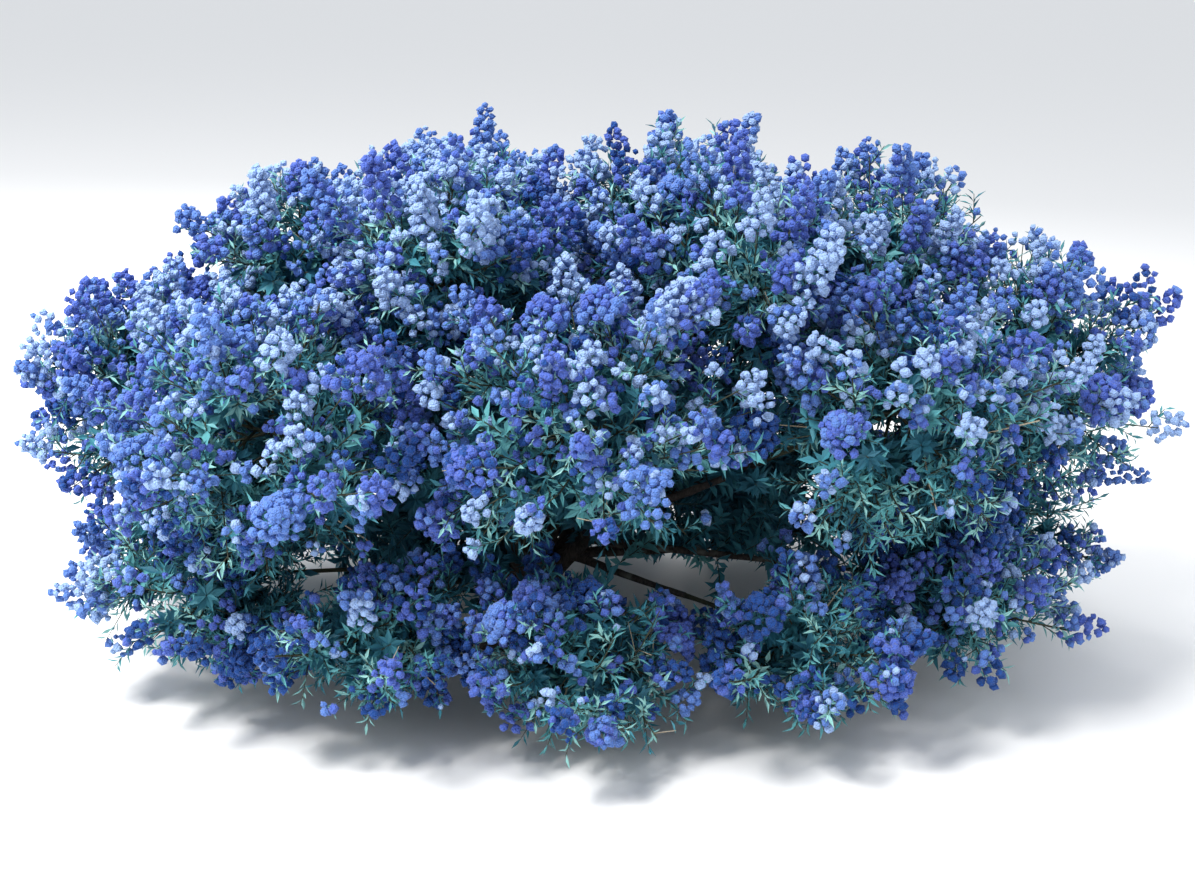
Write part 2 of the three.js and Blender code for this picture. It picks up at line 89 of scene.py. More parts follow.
class Dice:
    """A repeatable draw of numbers from 0 to 1: a linear congruential generator of 32 bits."""

    RANGE, FACTOR, STEP, SPREAD = 2**32, 1664525, 1013904223, 2654435761

    def __init__(self, seed: int) -> None:
        """Starts the draw from any whole number."""
        self.state = (seed + 11) * self.SPREAD % self.RANGE

    def draw(self) -> float:
        """The next number."""
        self.state = (self.state * self.FACTOR + self.STEP) % self.RANGE
        return self.state / self.RANGE

    def draws(self, rows: int, columns: int) -> Array:
        """A table of the next numbers, row by row."""
        return np.array([[self.draw() for _ in range(columns)] for _ in range(rows)])


def unit(vectors: Array) -> Array:
    """The same directions at length 1."""
    return vectors / np.maximum(np.linalg.norm(vectors, axis=-1, keepdims=True), TINY)


def dots(first: Array, second: Array) -> Array:
    """The scalar products of two arrays of vectors, kept as a last axis of one."""
    return (first * second).sum(-1, keepdims=True)


def across(axes: Array) -> tuple[Array, Array]:
    """Two directions square to unit vectors, by cross products with +Z, or +X where they are near upright.

    Args:
        axes: unit vectors.

    Returns:
        One unit vector square to each, level where +Z was used, and the one square to both.
    """
    near_upright = np.abs(axes[..., 2:]) >= NEAR_UPRIGHT
    side = unit(np.cross(np.where(near_upright, np.array([1.0, 0.0, 0.0]), UP), axes))
    return side, np.cross(axes, side)


def leaning(axes: Array, angles: Array | float, turns: Array) -> Array:
    """Directions that leave axes by an angle: cos(angle) of the axis and sin(angle) of one square to it.

    Args:
        axes: unit vectors.
        angles: how far each direction leaves its axis, in radians.
        turns: how far round the axis it is turned, in radians.

    Returns:
        One unit vector for each axis.
    """
    side, other = across(axes)
    angles, turns = np.asarray(angles)[..., None], np.asarray(turns)[..., None]
    return np.cos(angles) * axes + np.sin(angles) * (np.cos(turns) * side + np.sin(turns) * other)


def off_line(points: Array, start: Array, end: Array) -> Array:
    """How far points (n, 3) lie from the straight line between two others: (n,)."""
    along = np.clip((points - start) @ (end - start) / ((end - start) @ (end - start)), 0, 1)
    return np.linalg.norm(points - start - along[:, None] * (end - start), axis=-1)


def along_lines(lines: Array, shares: Array) -> tuple[Array, Array]:
    """The points a share of the way along lines, counted by their pieces, and the lines' directions there.

    Args:
        lines: (n, points, 3).
        shares: (n,) or (n, m), from 0 to 1.

    Returns:
        The points and the unit directions, each (n, 3) or (n, m, 3).
    """
    places = np.minimum(shares, LAST_SHARE) * (lines.shape[1] - 1)
    piece = np.floor(places).astype(int)
    rows = np.arange(len(lines)).reshape((-1,) + (1,) * (piece.ndim - 1))
    rest = (places - piece)[..., None]
    start, end = lines[rows, piece], lines[rows, piece + 1]
    return start * (1 - rest) + end * rest, unit(end - start)


def whorls(lines: Array, count: int, span: Span, angle: Span,
           rng: np.random.Generator) -> tuple[Array, Array, Array, Array]:
    """Places along lines in golden-angle turns, and the directions in which something leaves there.

    Args:
        lines: (n, points, 3).
        count: how many places each line has.
        span: the first and last share of the line that has them.
        angle: the least and greatest angle to the line, in degrees.
        rng: the draw of places, turns and angles, in that order.

    Returns:
        The places' shares, the places, the lines' directions there, and the directions that leave them.
    """
    rows = len(lines)
    shares = span[0] + (span[1] - span[0]) * (np.arange(count) + rng.random((rows, count))) / count
    places, axes = (part.reshape(-1, 3) for part in along_lines(lines, shares))
    turns = (rng.random((rows, 1)) * ANY_TURN + np.arange(count) * GOLDEN_ANGLE).ravel()
    ways = leaning(axes, np.radians(rng.uniform(*angle, rows * count)), turns)
    return shares.ravel(), places, axes, ways


# ---------- meshes from arrays ----------


def add_object(name: str, data: bpy.types.ID) -> bpy.types.Object:
    """Puts a new object into the scene.

    Args:
        name: its name.
        data: its mesh, lamp or camera.

    Returns:
        The object.
    """
    made = bpy.data.objects.new(name, data)
    bpy.context.scene.collection.objects.link(made)
    return made


@dataclass
class Shells:
    """Many small shells of a few patterns, as arrays that join into one mesh."""

    points: list[Array] = field(default_factory=list)
    faces: list[Array] = field(default_factory=list)
    count: int = 0

    def add(self, points: Array, pattern: Array) -> None:
        """Adds shells that share a pattern of triangles.

        Args:
            points: (shells, corners, 3).
            pattern: (triangles, 3), corners by number within one shell.
        """
        shells, corners = points.shape[:2]
        starts = self.count + corners * np.arange(shells)
        self.points.append(points.reshape(-1, 3))
        self.faces.append((starts[:, None, None] + pattern).reshape(-1, 3))
        self.count += shells * corners

    def dress(self, name: str, finish: Material, slot: str, stands_for: list[str],
              smooth: bool = True) -> None:
        """Makes pieces of the plant, each under the limit of triangles and with its place in its mesh.

        Args:
            name: the piece's name. Numbers follow it where there are several.
            finish: the material.
            slot: not used.
            stands_for: the model's nodes that they replace.
            smooth: True where the faces are shaded as one smooth surface.
        """
        points, faces = np.concatenate(self.points), np.concatenate(self.faces)
        parts = math.ceil(len(faces) / MOST_TRIANGLES)
        for number, part in enumerate(np.array_split(faces, parts), 1):
            title = name if parts == 1 else f"{name}_{number}"
            used, corners = np.unique(part, return_inverse=True)
            mesh = bpy.data.meshes.new(title)
            mesh.vertices.add(len(used))
            mesh.vertices.foreach_set("co", points[used].astype(np.float32).ravel())
            mesh.loops.add(part.size)
            mesh.loops.foreach_set("vertex_index", corners.astype(np.int32).ravel())
            mesh.polygons.add(len(part))
            mesh.polygons.foreach_set("loop_start", np.arange(0, part.size, 3, dtype=np.int32))
            mesh.polygons.foreach_set("use_smooth", np.full(len(part), smooth))
            mesh.update(calc_edges=True)
            mesh.validate()
            mesh.materials.append(finish)
            piece = add_object(title, mesh)
            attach(piece, BODY)
            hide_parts(*stands_for)
            LOG.info("%s: %d triangles", title, len(part))


def tube_points(lines: Array, radii: Array, sides: int) -> Array:
    """Rings of corners round lines: each ring is square to the line, and turns with it without twisting.

    Args:
        lines: (n, points, 3).
        radii: (n, points).
        sides: corners of a ring.

    Returns:
        (n, points * sides, 3).
    """
    steps = unit(lines[:, 1:] - lines[:, :-1])
    inner = unit(steps[:, 1:] + steps[:, :-1])
    axes = np.concatenate([steps[:, :1], inner, steps[:, -1:]], axis=1)
    side = across(axes[:, 0])[0]
    turns = 2 * np.pi * np.arange(sides) / sides
    rings = []
    for i in range(lines.shape[1]):
        side = unit(side - dots(side, axes[:, i]) * axes[:, i])
        other = np.cross(axes[:, i], side)
        round_ring = np.cos(turns)[:, None] * side[:, None] + np.sin(turns)[:, None] * other[:, None]
        rings.append(lines[:, i, None] + radii[:, i, None, None] * round_ring)
    return np.stack(rings, axis=1).reshape(len(lines), -1, 3)


def tube_pattern(rings: int, sides: int) -> Array:
    """The triangles of a closed tube: two for each cell between rings, and a fan over each end.

    Args:
        rings: how many rings it has.
        sides: corners of a ring.

    Returns:
        (triangles, 3), corners by number.
    """
    ring, side = np.meshgrid(np.arange(rings - 1), np.arange(sides), indexing="ij")
    low = ring * sides + side
    low_next = ring * sides + (side + 1) % sides
    walls = np.stack([low, low_next, low_next + sides, low, low_next + sides, low + sides], axis=-1)
    fan = np.arange(1, sides - 1)
    last = (rings - 1) * sides
    start = np.stack([np.zeros_like(fan), fan + 1, fan], axis=-1)
    end = np.stack([np.full_like(fan, last), last + fan, last + fan + 1], axis=-1)
    return np.concatenate([walls.reshape(-1, 3), start, end])


# ---------- finishes ----------


def add_node(made: Material, kind: str, **inputs: float | Point) -> Node:
    """Adds a node to a material.

    Args:
        made: the material.
        kind: the node's kind, without its first word.
        inputs: values by the inputs' names, with _ for a space.

    Returns:
        The node.
    """
    node = made.node_tree.nodes.new(f"ShaderNode{kind}")
    for name, value in inputs.items():
        node.inputs[name.replace("_", " ")].default_value = value
    return node


def new_material(name: str) -> tuple[Material, Node]:
    """Makes a material.

    Args:
        name: its name.

    Returns:
        The new material and its shader.
    """
    made = bpy.data.materials.new(name)
    made.use_nodes = True
    return made, made.node_tree.nodes["Principled BSDF"]


@dataclass(frozen=True)
class Finish:
    """A plain-coloured finish with grain in its gloss and relief.

    Attributes:
        name: the material's name.
        colour: its base colour, linear red, green and blue.
        roughness: lowest and highest roughness.
        grain: how many specks of grain there are to a metre.
        relief: height of the relief in metres.
        sheen: weight of the soft sheen.
        gloss: level of the mirror-like reflection.
        florets: True where the relief is of small round florets instead of even grain.
    """

    name: str
    colour: Point
    roughness: Span
    grain: float
    relief: float
    sheen: float = 0.0
    gloss: float = 0.25
    florets: bool = False

    def material(self) -> Material:
        """Builds the material: noise or round cells on Object coordinates drive roughness and bump.

        Returns:
            The material.
        """
        made, shader = new_material(self.name)
        for name, value in (("Base Color", (*self.colour, 1)), ("Sheen Weight", self.sheen),
                            ("Specular IOR Level", self.gloss)):
            shader.inputs[name].default_value = value
        place = add_node(made, "TexCoord")
        if self.florets:
            pattern = add_node(made, "TexVoronoi", Scale=self.grain)
            height = pattern.outputs["Distance"]
        else:
            pattern = add_node(made, "TexNoise", Scale=self.grain, Detail=2.0)
            height = pattern.outputs["Fac"]
        gloss = add_node(made, "MapRange", To_Min=self.roughness[0], To_Max=self.roughness[1])
        bump = add_node(made, "Bump", Distance=self.relief)
        bump.invert = self.florets
        for source, target in ((place.outputs["Object"], pattern.inputs["Vector"]),
                               (height, gloss.inputs["Value"]),
                               (gloss.outputs["Result"], shader.inputs["Roughness"]),
                               (height, bump.inputs["Height"]),
                               (bump.outputs["Normal"], shader.inputs["Normal"])):
            made.node_tree.links.new(source, target)
        return made


@dataclass(frozen=True)
class BarkFinish:
    """Grey-brown bark: fine furrows drawn out along the limbs, with paler lichen in patches."""

    name: str = "bark"
    dark: Point = (0.016, 0.013, 0.012)
    pale: Point = (0.075, 0.062, 0.054)
    lichen: Point = (0.13, 0.135, 0.115)
    tones: Span = (0.36, 0.68)
    patches: Span = (0.56, 0.66)
    relief: float = 0.003

    def material(self) -> Material:
        """Builds the material: stretched noise for the furrows, broad noise for the lichen.

        Returns:
            The material.
        """
        made, shader = new_material(self.name)
        shader.inputs["Roughness"].default_value = 0.9
        place = add_node(made, "TexCoord")
        stretch = add_node(made, "Mapping", Scale=(1.0, 1.0, 0.35))
        fibre = add_node(made, "TexNoise", Scale=160.0, Detail=6.0, Roughness=0.65)
        broad = add_node(made, "TexNoise", Scale=14.0, Detail=4.0)
        tone, where = add_node(made, "ValToRGB"), add_node(made, "ValToRGB")
        for ramp, span in ((tone.color_ramp, self.tones), (where.color_ramp, self.patches)):
            ramp.elements[0].position, ramp.elements[1].position = span
        tone.color_ramp.elements[0].color = (*self.dark, 1)
        tone.color_ramp.elements[1].color = (*self.pale, 1)
        blend = add_node(made, "Mix")
        blend.data_type = "RGBA"
        share, under, over = (blend.inputs[i] for i in (0, 6, 7))
        over.default_value = (*self.lichen, 1)
        bump = add_node(made, "Bump", Distance=self.relief)
        for source, target in ((place.outputs["Object"], stretch.inputs["Vector"]),
                               (stretch.outputs["Vector"], fibre.inputs["Vector"]),
                               (fibre.outputs["Fac"], tone.inputs["Fac"]),
                               (place.outputs["Object"], broad.inputs["Vector"]),
                               (broad.outputs["Fac"], where.inputs["Fac"]),
                               (where.outputs["Color"], share),
                               (tone.outputs["Color"], under),
                               (blend.outputs[2], shader.inputs["Base Color"]),
                               (fibre.outputs["Fac"], bump.inputs["Height"]),
                               (bump.outputs["Normal"], shader.inputs["Normal"])):
            made.node_tree.links.new(source, target)
        return made


class Tint(Enum):
    """The plain finishes of leaves, blossom and twigs."""

    # Leaf tints, dealt by luck and openness: shade and dark are painted shade, bright painted light, pale a
    # painted highlight.
    LEAF_SHADE = Finish("leaf_shade", (0.024, 0.125, 0.180), (0.4, 0.6), 260, 0.0006)
    LEAF_DARK = Finish("leaf_dark", (0.048, 0.215, 0.272), (0.4, 0.6), 260, 0.0006)
    LEAF_BRIGHT = Finish("leaf_bright", (0.105, 0.345, 0.370), (0.35, 0.55), 260, 0.0006)
    LEAF_PALE = Finish("leaf_pale", (0.260, 0.520, 0.500), (0.35, 0.55), 260, 0.0006)
    # Blossom tints, dealt by luck, openness and height: deep is painted shade, pale painted light, violet and
    # blue between.
    BLOSSOM_DEEP = Finish("blossom_deep", (0.022, 0.082, 0.325), (0.8, 0.95), 190, 0.006, 0.1, 0.1, True)
    BLOSSOM_VIOLET = Finish("blossom_violet", (0.084, 0.149, 0.56), (0.8, 0.95), 190, 0.006, 0.15, 0.1, True)
    BLOSSOM_BLUE = Finish("blossom_blue", (0.115, 0.235, 0.64), (0.8, 0.95), 190, 0.006, 0.15, 0.1, True)
    BLOSSOM_PALE = Finish("blossom_pale", (0.345, 0.515, 0.87), (0.8, 0.95), 190, 0.006, 0.2, 0.1, True)
    TWIG = Finish("twig", (0.050, 0.055, 0.035), (0.6, 0.8), 300, 0.0008)
    DRY = Finish("dry_twig", (0.42, 0.36, 0.26), (0.6, 0.8), 300, 0.0008)


def dealt(scores: Array, shares: dict[str, tuple[Tint, float]]) -> Iterator[tuple[str, Material, Array]]:
    """Deals things out to tints in the order of their scores, the lowest to the first tint.

    Args:
        scores: one for each thing.
        shares: by name, each tint and its share of them all.

    Returns:
        For each tint its name, its material, and True for the things that are its own.
    """
    rank = np.argsort(np.argsort(scores)) / len(scores)
    edges = np.cumsum([0] + [share for _, share in shares.values()])
    for (name, (tint, _)), first, last in zip(shares.items(), edges[:-1], edges[1:]):
        yield name, tint.value.material(), (rank >= first) & (rank < last)


# ---------- the crown's masses ----------


@dataclass(frozen=True)
class Tier:
    """One ring of masses of foliage.

    ring is where it runs, in shares of the crown's half width and half depth, and first its first mass's
    bearing in degrees from +X. front_lift, right_lift and end_lift raise the masses at the front, at the
    right against the left, and at both ends. size holds half sizes outwards, sideways and upwards.
    """

    name: str
    count: int
    ring: Span
    shift: float
    first: float
    height: float
    front_lift: float
    right_lift: float
    end_lift: float
    size: Point


TIERS = (
    Tier("skirt", 12, (0.69, 0.64), -0.015, -90, 0.262, 0.01, 0, 0.09, (0.41, 0.48, 0.215)),
    Tier("girdle", 8, (0.72, 0.64), -0.01, -90, 0.71, 0.045, 0.02, 0.015, (0.43, 0.56, 0.345)),
    Tier("shoulder", 6, (0.48, 0.42), -0.03, -60, 0.985, 0.035, -0.02, 0, (0.42, 0.45, 0.335)),
    Tier("top", 2, (0.17, 0.03), 0.005, 0, 1.05, 0, 0.01, 0, (0.4, 0.43, 0.31)),
)


@dataclass
class Mass:
    """One mass of foliage: its space, and where its bough enters it."""

    tier: Tier
    number: int
    bearing: float
    middle: Array
    axes: Array
    size: Array
    dice: Dice
    bough_end: Array = field(default_factory=lambda: np.zeros(3))
    bough_way: Array = field(default_factory=lambda: UP.copy())
    bough_tip: float = 0.0

    @property
    def name(self) -> str:
        """The node's name in the model."""
        return f"{self.tier.name}_foliage_{self.number + 1}"

    @property
    def weight(self) -> float:
        """Its weight in the power diagram that shares out the crown: (abc) to the power 2/3."""
        return float(np.prod(self.size) ** (2 / 3))

    def depth(self, points: Array) -> Array:
        """How far out points lie in it: 1 on its own ellipsoid."""
        return np.linalg.norm((points - self.middle) @ self.axes.T / self.size, axis=-1)

    def edge(self, ways: Array) -> Array:
        """How far its ellipsoid lies from its middle along directions."""
        return 1 / np.linalg.norm(ways @ self.axes.T / self.size, axis=-1)


@dataclass
class Crown:
    """The whole crown: the masses, and the space that each keeps to."""

    middle_x: float = 0.175
    middle_y: float = 0.06
    half_width: float = 1.5
    half_depth: float = 1.09
    hub_height: float = 0.33
    ring_fullness: float = 0.85
    ring_evenness: float = 0.12
    place_jitter: float = 0.045
    height_jitter: float = 0.6
    size_jitter: float = 0.1
    space_margin: float = 0.002
    ground_clearance: float = 0.03
    reach_step: float = 0.012
    reach_steps: int = 63
    masses: list[Mass] = field(default_factory=list)

    def __post_init__(self) -> None:
        """Places the masses tier by tier."""
        self.masses = [self._place(level, tier, i)
                       for level, tier in enumerate(TIERS) for i in range(tier.count)]
        self.middles = np.array([mass.middle for mass in self.masses])
        self.weights = np.array([mass.weight for mass in self.masses])

    def _fuller(self, share: float) -> float:
        """Draws a share out towards its end, which makes a ring fuller than an ellipse."""
        return math.copysign(abs(share) ** self.ring_fullness, share)

    def _place(self, level: int, tier: Tier, i: int) -> Mass:
        """Places one mass.

        Args:
            level: the tier's number from the ground up.
            tier: its tier.
            i: its number in the tier.

        Returns:
            The mass, with its directions outwards, sideways and up.
        """
        dice = Dice(100 * level + i + 1)
        turn = math.radians(tier.first + 360 * i / tier.count)
        bearing = turn + self.ring_evenness * math.sin(2 * turn)
        east, north = self._fuller(math.cos(bearing)), self._fuller(math.sin(bearing))
        stray = [(2 * dice.draw() - 1) * self.place_jitter for _ in range(3)]
        lift = max(-north, 0) * tier.front_lift + east * tier.right_lift + east**4 * tier.end_lift
        middle = np.array([
            self.middle_x + tier.shift + east * tier.ring[0] * self.half_width + stray[0],
            self.middle_y + north * tier.ring[1] * self.half_depth + stray[1],
            tier.height + lift + stray[2] * self.height_jitter,
        ])
        scale = 1 + (2 * dice.draw() - 1) * self.size_jitter
        outward = unit(np.array([middle[0] - self.middle_x, middle[1] - self.middle_y, 0.0]))
        axes = np.array([outward, np.cross(UP, outward), UP])
        return Mass(tier, i, bearing, middle, axes, scale * np.array(tier.size), dice)

    def of_tier(self, name: str) -> list[Mass]:
        """The masses of one tier."""
        return [mass for mass in self.masses if mass.tier.name == name]

    def holds(self, mass: Mass, points: Array, margin: float, outline: Array | float) -> Array:
        """Which points keep to a mass's own space.

        Args:
            mass: the mass.
            points: (..., 3).
            margin: least distance from the border between two masses and above the ground's clearance.
            outline: how deep they may lie in the mass, 1 on its ellipsoid.

        Returns:
            Booleans of the points' leading shape.
        """
        own = ((points - mass.middle) ** 2).sum(-1) - mass.weight
        theirs = ((points[..., None, :] - self.middles) ** 2).sum(-1) - self.weights
        apart = np.linalg.norm(self.middles - mass.middle, axis=-1)
        border = 2 * (margin + self.space_margin) * apart
        clear = (theirs - own[..., None] >= border) | (apart == 0)
        high = points[..., 2] >= self.ground_clearance + margin
        return high & (mass.depth(points) <= outline) & clear.all(-1)

    def reach(self, mass: Mass, ways: Array, margin: float, outline: Array) -> Array:
        """How far rays from a mass's middle can go before they leave its space.

        Args:
            mass: the mass.
            ways: (n, 3) unit directions.
            margin: least distance from its borders.
            outline: (n,) how deep each ray may end.

        Returns:
            (n,) lengths.
        """
        steps = np.arange(1, self.reach_steps + 1) * self.reach_step
        points = mass.middle + ways[:, None] * steps[:, None]
        inside = self.holds(mass, points, margin, outline[:, None])
        return np.cumprod(inside, axis=1).sum(axis=1) * self.reach_step


class Shade:
    """How much foliage stands round a point, as counts of twig tips in the cells of a grid."""

    CELL = 0.07
    THICKNESS = 0.11  # of one tip in a cell, as an optical depth
    MARGIN = 8  # cells round the outermost tips
    CELLS_AHEAD = 7
    SLOPES = (0.1, 0.8, 2.5)
    TURNS = (-0.9, 0.0, 0.9)

    def __init__(self, tips: Array, hub: Array) -> None:
        """Counts the tips.

        Args:
            tips: (n, 3) where the leafy twigs end.
            hub: the point of the ground that outwards is measured from.
        """
        self.hub = hub
        self.low = tips.min(axis=0) - self.MARGIN * self.CELL
        size = tips.max(axis=0) + self.MARGIN * self.CELL - self.low
        self.last = np.ceil(size / self.CELL).astype(int)
        self.counts = np.zeros(self.last + 1)
        np.add.at(self.counts, tuple(self._cells(tips).T), 1)

    def _cells(self, points: Array) -> Array:
        """The cells that points fall in."""
        return np.clip(((points - self.low) / self.CELL).astype(int), 0, self.last)

    def openness(self, points: Array) -> Array:
        """How open points lie to the light, outwards, to both sides of that and upwards.

        Args:
            points: (n, 3).

        Returns:
            (n,) from 0, buried, to 1, open on every side: the mean of what light gets through.
        """
        level = unit((points - self.hub) * LEVEL)
        beside = np.cross(UP, level)
        through = []
        for slope in self.SLOPES:
            for turn in self.TURNS:
                way = unit(math.cos(turn) * level + math.sin(turn) * beside + slope * UP)
                ahead = points + way * (1 + np.arange(self.CELLS_AHEAD))[:, None, None] * self.CELL
                counts = self.counts[tuple(np.moveaxis(self._cells(ahead), -1, 0))]
                through.append(np.exp(-self.THICKNESS * counts.sum(axis=0)))
        return np.mean(through, axis=0)


# ---------- trunk and boughs ----------


@dataclass(frozen=True)
class BoughKind:
    """How the boughs of a tier start and taper.

    rise is 0 for level and 1 for upright, and leaves the share of the carrying bough where the first starts.
    """

    base: float
    tip: float
    rise: float
    leaves: float = 0.0
    rings: int = 40
    sides: int = 14


BOUGH_KINDS = {
    "shoulder": BoughKind(0.025, 0.011, 0.62, rings=56, sides=22),
    "top": BoughKind(0.020, 0.010, 0.93, rings=48, sides=20),
    "girdle": BoughKind(0.014, 0.008, 0.35, 0.36),
    "skirt": BoughKind(0.0125, 0.007, -0.05, 0.16),
}


@dataclass
class Limb:
    """One limb as a curve: three control points, and the radii of its base and tip."""

    name: str
    control: Array
    kind: BoughKind
    bearing: float
    seed: int
    taper: float = 0.8

    def at(self, shares: Array) -> Array:
        """Points on its curve, by the weights (1-s)^2, 2s(1-s) and s^2 of its control points.

        Args:
            shares: of the curve, from 0 to 1.

        Returns:
            One point for each.
        """
        s = np.asarray(shares, dtype=float)[..., None]
        start, bend, end = self.control
        return (1 - s) ** 2 * start + 2 * s * (1 - s) * bend + s**2 * end

    def radius(self, shares: Array) -> Array:
        """Its radius: from base to tip by the share to the power of its taper."""
        return self.kind.base + (self.kind.tip - self.kind.base) * np.asarray(shares) ** self.taper


@dataclass
class Limbs:
    """Trunk and boughs, with the furrows of their bark."""

    crown: Crown
    trunk_height: float = 0.235
    lean: Span = (0.048, -0.012)
    flare_height: float = 0.13
    lobes: int = 5
    lobe_depth: float = 0.13
    trunk_sizes: tuple[Span, ...] = (
        (0, 0.118), (0.028, 0.092), (0.07, 0.076), (0.13, 0.070), (0.19, 0.066), (0.235, 0.044))
    dome: tuple[Span, ...] = ((0.012, 0.75), (0.018, 0.4))  # heights over the trunk's rim, and widths
    trunk_sides: int = 96
    trunk_rings: int = 64
    trunk_seed: int = 3
    bend: float = 0.45
    starts: tuple[tuple[str, float], ...] = (("shoulder", 0.150), ("top", 0.200))  # tiers and heights
    start_step: float = 0.022
    side_step: float = 0.1
    entry_share: float = 0.86  # of the way from the mass's middle to its edge, where the bough ends
    collar: float = 0.35
    collar_length: float = 2.5  # in radii
    knots: tuple[float, float, float] = (0.08, 31, 13)  # their height, and two pitches
    furrow: float = 0.07
    foot_furrow: Span = (0.4, 6)  # its share at the ground, and how fast it deepens above
    wanders: tuple[Span, ...] = ((0.5, 9), (0.3, 23))  # sizes and pitches
    # Strength, waves round the limb, and pitch along it.
    waves: tuple[Point, ...] = ((0.5, 3, 8), (0.45, 7, 21), (0.4, 11, 37), (0.25, 17, 71))
    ridges: tuple[float, ...] = (0.4, 4, 6, 0.6)  # share, waves round the limb, pitch, and power
    clearance: float = 0.012
    checks: int = 6  # places along a bough from which clearance is measured
    last_part: float = 0.8  # the share of a bough from which the direction of its end is taken
    boughs: list[Limb] = field(default_factory=list)

    def __post_init__(self) -> None:
        """Grows the main boughs from the trunk and the side boughs from the main ones."""
        mains = []
        for tier, height in self.starts:
            for mass in self.crown.of_tier(tier):
                step = (mass.number % 2) * self.start_step if tier == "shoulder" else 0
                mains.append(self._add_bough(mass, self._trunk_axis(height + step)))
        mains = mains[:len(self.crown.of_tier("shoulder"))]
        for tier in ("girdle", "skirt"):
            carried = dict.fromkeys([limb.name for limb in mains], 0)
            for mass in self.crown.of_tier(tier):
                carrier = min(mains, key=lambda limb: self._apart(limb.bearing, mass.bearing))
                share = BOUGH_KINDS[tier].leaves + carried[carrier.name] * self.side_step
                carried[carrier.name] += 1
                self._add_bough(mass, carrier.at(share))

    @staticmethod
    def _apart(first: float, second: float) -> float:
        """How far apart two bearings are."""
        return abs(math.atan2(math.sin(first - second), math.cos(first - second)))

    def _trunk_axis(self, heights: Array | float) -> Array:
        """Points on the trunk's leaning axis at heights."""
        heights = np.asarray(heights, dtype=float)
        return np.stack([*(lean * (heights / self.trunk_height) for lean in self.lean), heights], axis=-1)

    def _add_bough(self, mass: Mass, start: Array) -> Limb:
        """Grows a mass's bough from a start to the place where it enters the mass.

        Args:
            mass: the mass that it carries.
            start: where it leaves the limb that carries it.

        Returns:
            The bough.
        """
        kind = BOUGH_KINDS[mass.tier.name]
        back = unit(start - mass.middle)
        end = mass.middle + back * mass.edge(back) * self.entry_share
        level = unit((end - start) * LEVEL)
        out = level * math.sqrt(1 - kind.rise**2) + UP * kind.rise
        turn = start + out * np.linalg.norm(end - start) * self.bend
        name = f"{mass.tier.name}_bough_{mass.number + 1}"
        limb = Limb(name, np.array([start, turn, end]), kind, mass.bearing, len(self.boughs))
        self.boughs.append(limb)
        mass.bough_end, mass.bough_tip = end, kind.tip
        mass.bough_way = unit(limb.at(1.0) - limb.at(self.last_part))
        return limb

    def clear_of(self, points: Array) -> Array:
        """Which points keep their clearance from every limb.

        Args:
            points: (n, 3).

        Returns:
            (n,) booleans.
        """
        clear = np.ones(len(points), dtype=bool)
        shares = np.linspace(0, 1, self.checks)
        for limb in self.boughs:
            line, radii = limb.at(shares), limb.radius(shares)
            for start, end, radius in zip(line[:-1], line[1:], radii[:-1]):
                clear &= off_line(points, start, end) >= radius + self.clearance
        return clear

    def _relief(self, turns: Array, lengths: Array, seed: int) -> Array:
        """The bark's relief at places round and along a limb.

        It is a sum of waves that run mostly along the limb and wander sideways, the finer the shallower, with
        the crests broadened and the furrows narrowed by a power.

        Args:
            turns: angles round the limb.
            lengths: metres along it.
            seed: shifts the waves against those of other limbs.

        Returns:
            Relief from about -1 to 1, of the broadcast shape.
        """
        wander = sum(size * np.sin(pitch * lengths + i * seed)
                     for i, (size, pitch) in enumerate(self.wanders, 1))
        total = np.zeros(np.broadcast(turns, lengths).shape)
        for strength, waves, pitch in self.waves:
            total += strength * np.sin(waves * (turns + wander) + pitch * lengths + seed * waves)
        share, waves, pitch, power = self.ridges
        ridged = 1 - 2 * np.abs(np.sin(waves * (turns + wander) + pitch * lengths + seed)) ** power
        return (1 - share) * total - share * ridged

    def _trunk_shell(self) -> tuple[Array, Array]:
        """The trunk's surface: a radius by height and turn.

        The radius is read from its sizes by height, swelled by lobes near the ground and by the bark's
        relief, and drawn in to a domed head. The foot is a flat cut.

        Returns:
            The points of one shell and its triangles.
        """
        shares = np.linspace(0, 1, self.trunk_rings)
        heights = shares * self.trunk_height
        known, radii = np.array(self.trunk_sizes).T
        radius = np.interp(heights, known, radii)[:, None]
        turns = 2 * np.pi * np.arange(self.trunk_sides) / self.trunk_sides
        flare = np.maximum(0, 1 - heights / self.flare_height)[:, None]
        lobed = 1 + self.lobe_depth * flare * np.cos(self.lobes * turns)
        relief = self._relief(turns, heights[:, None], self.trunk_seed)
        foot, rise = self.foot_furrow
        depth = foot + (1 - foot) * np.minimum(shares * rise, 1)
        rough = 1 + self.furrow * depth[:, None] * (relief - 0.5)
        reach = radius * lobed * rough
        round_ring = np.stack([np.cos(turns), np.sin(turns), np.zeros_like(turns)], axis=-1)
        rings = self._trunk_axis(heights)[:, None] + reach[..., None] * round_ring
        rises, widths = np.array(self.dome).T
        head = self._trunk_axis(self.trunk_height + rises)[:, None]
        dome = head + reach[-1][:, None] * widths[:, None, None] * round_ring
        points = np.concatenate([rings, dome]).reshape(-1, 3)
        return points[None], tube_pattern(self.trunk_rings + len(self.dome), self.trunk_sides)

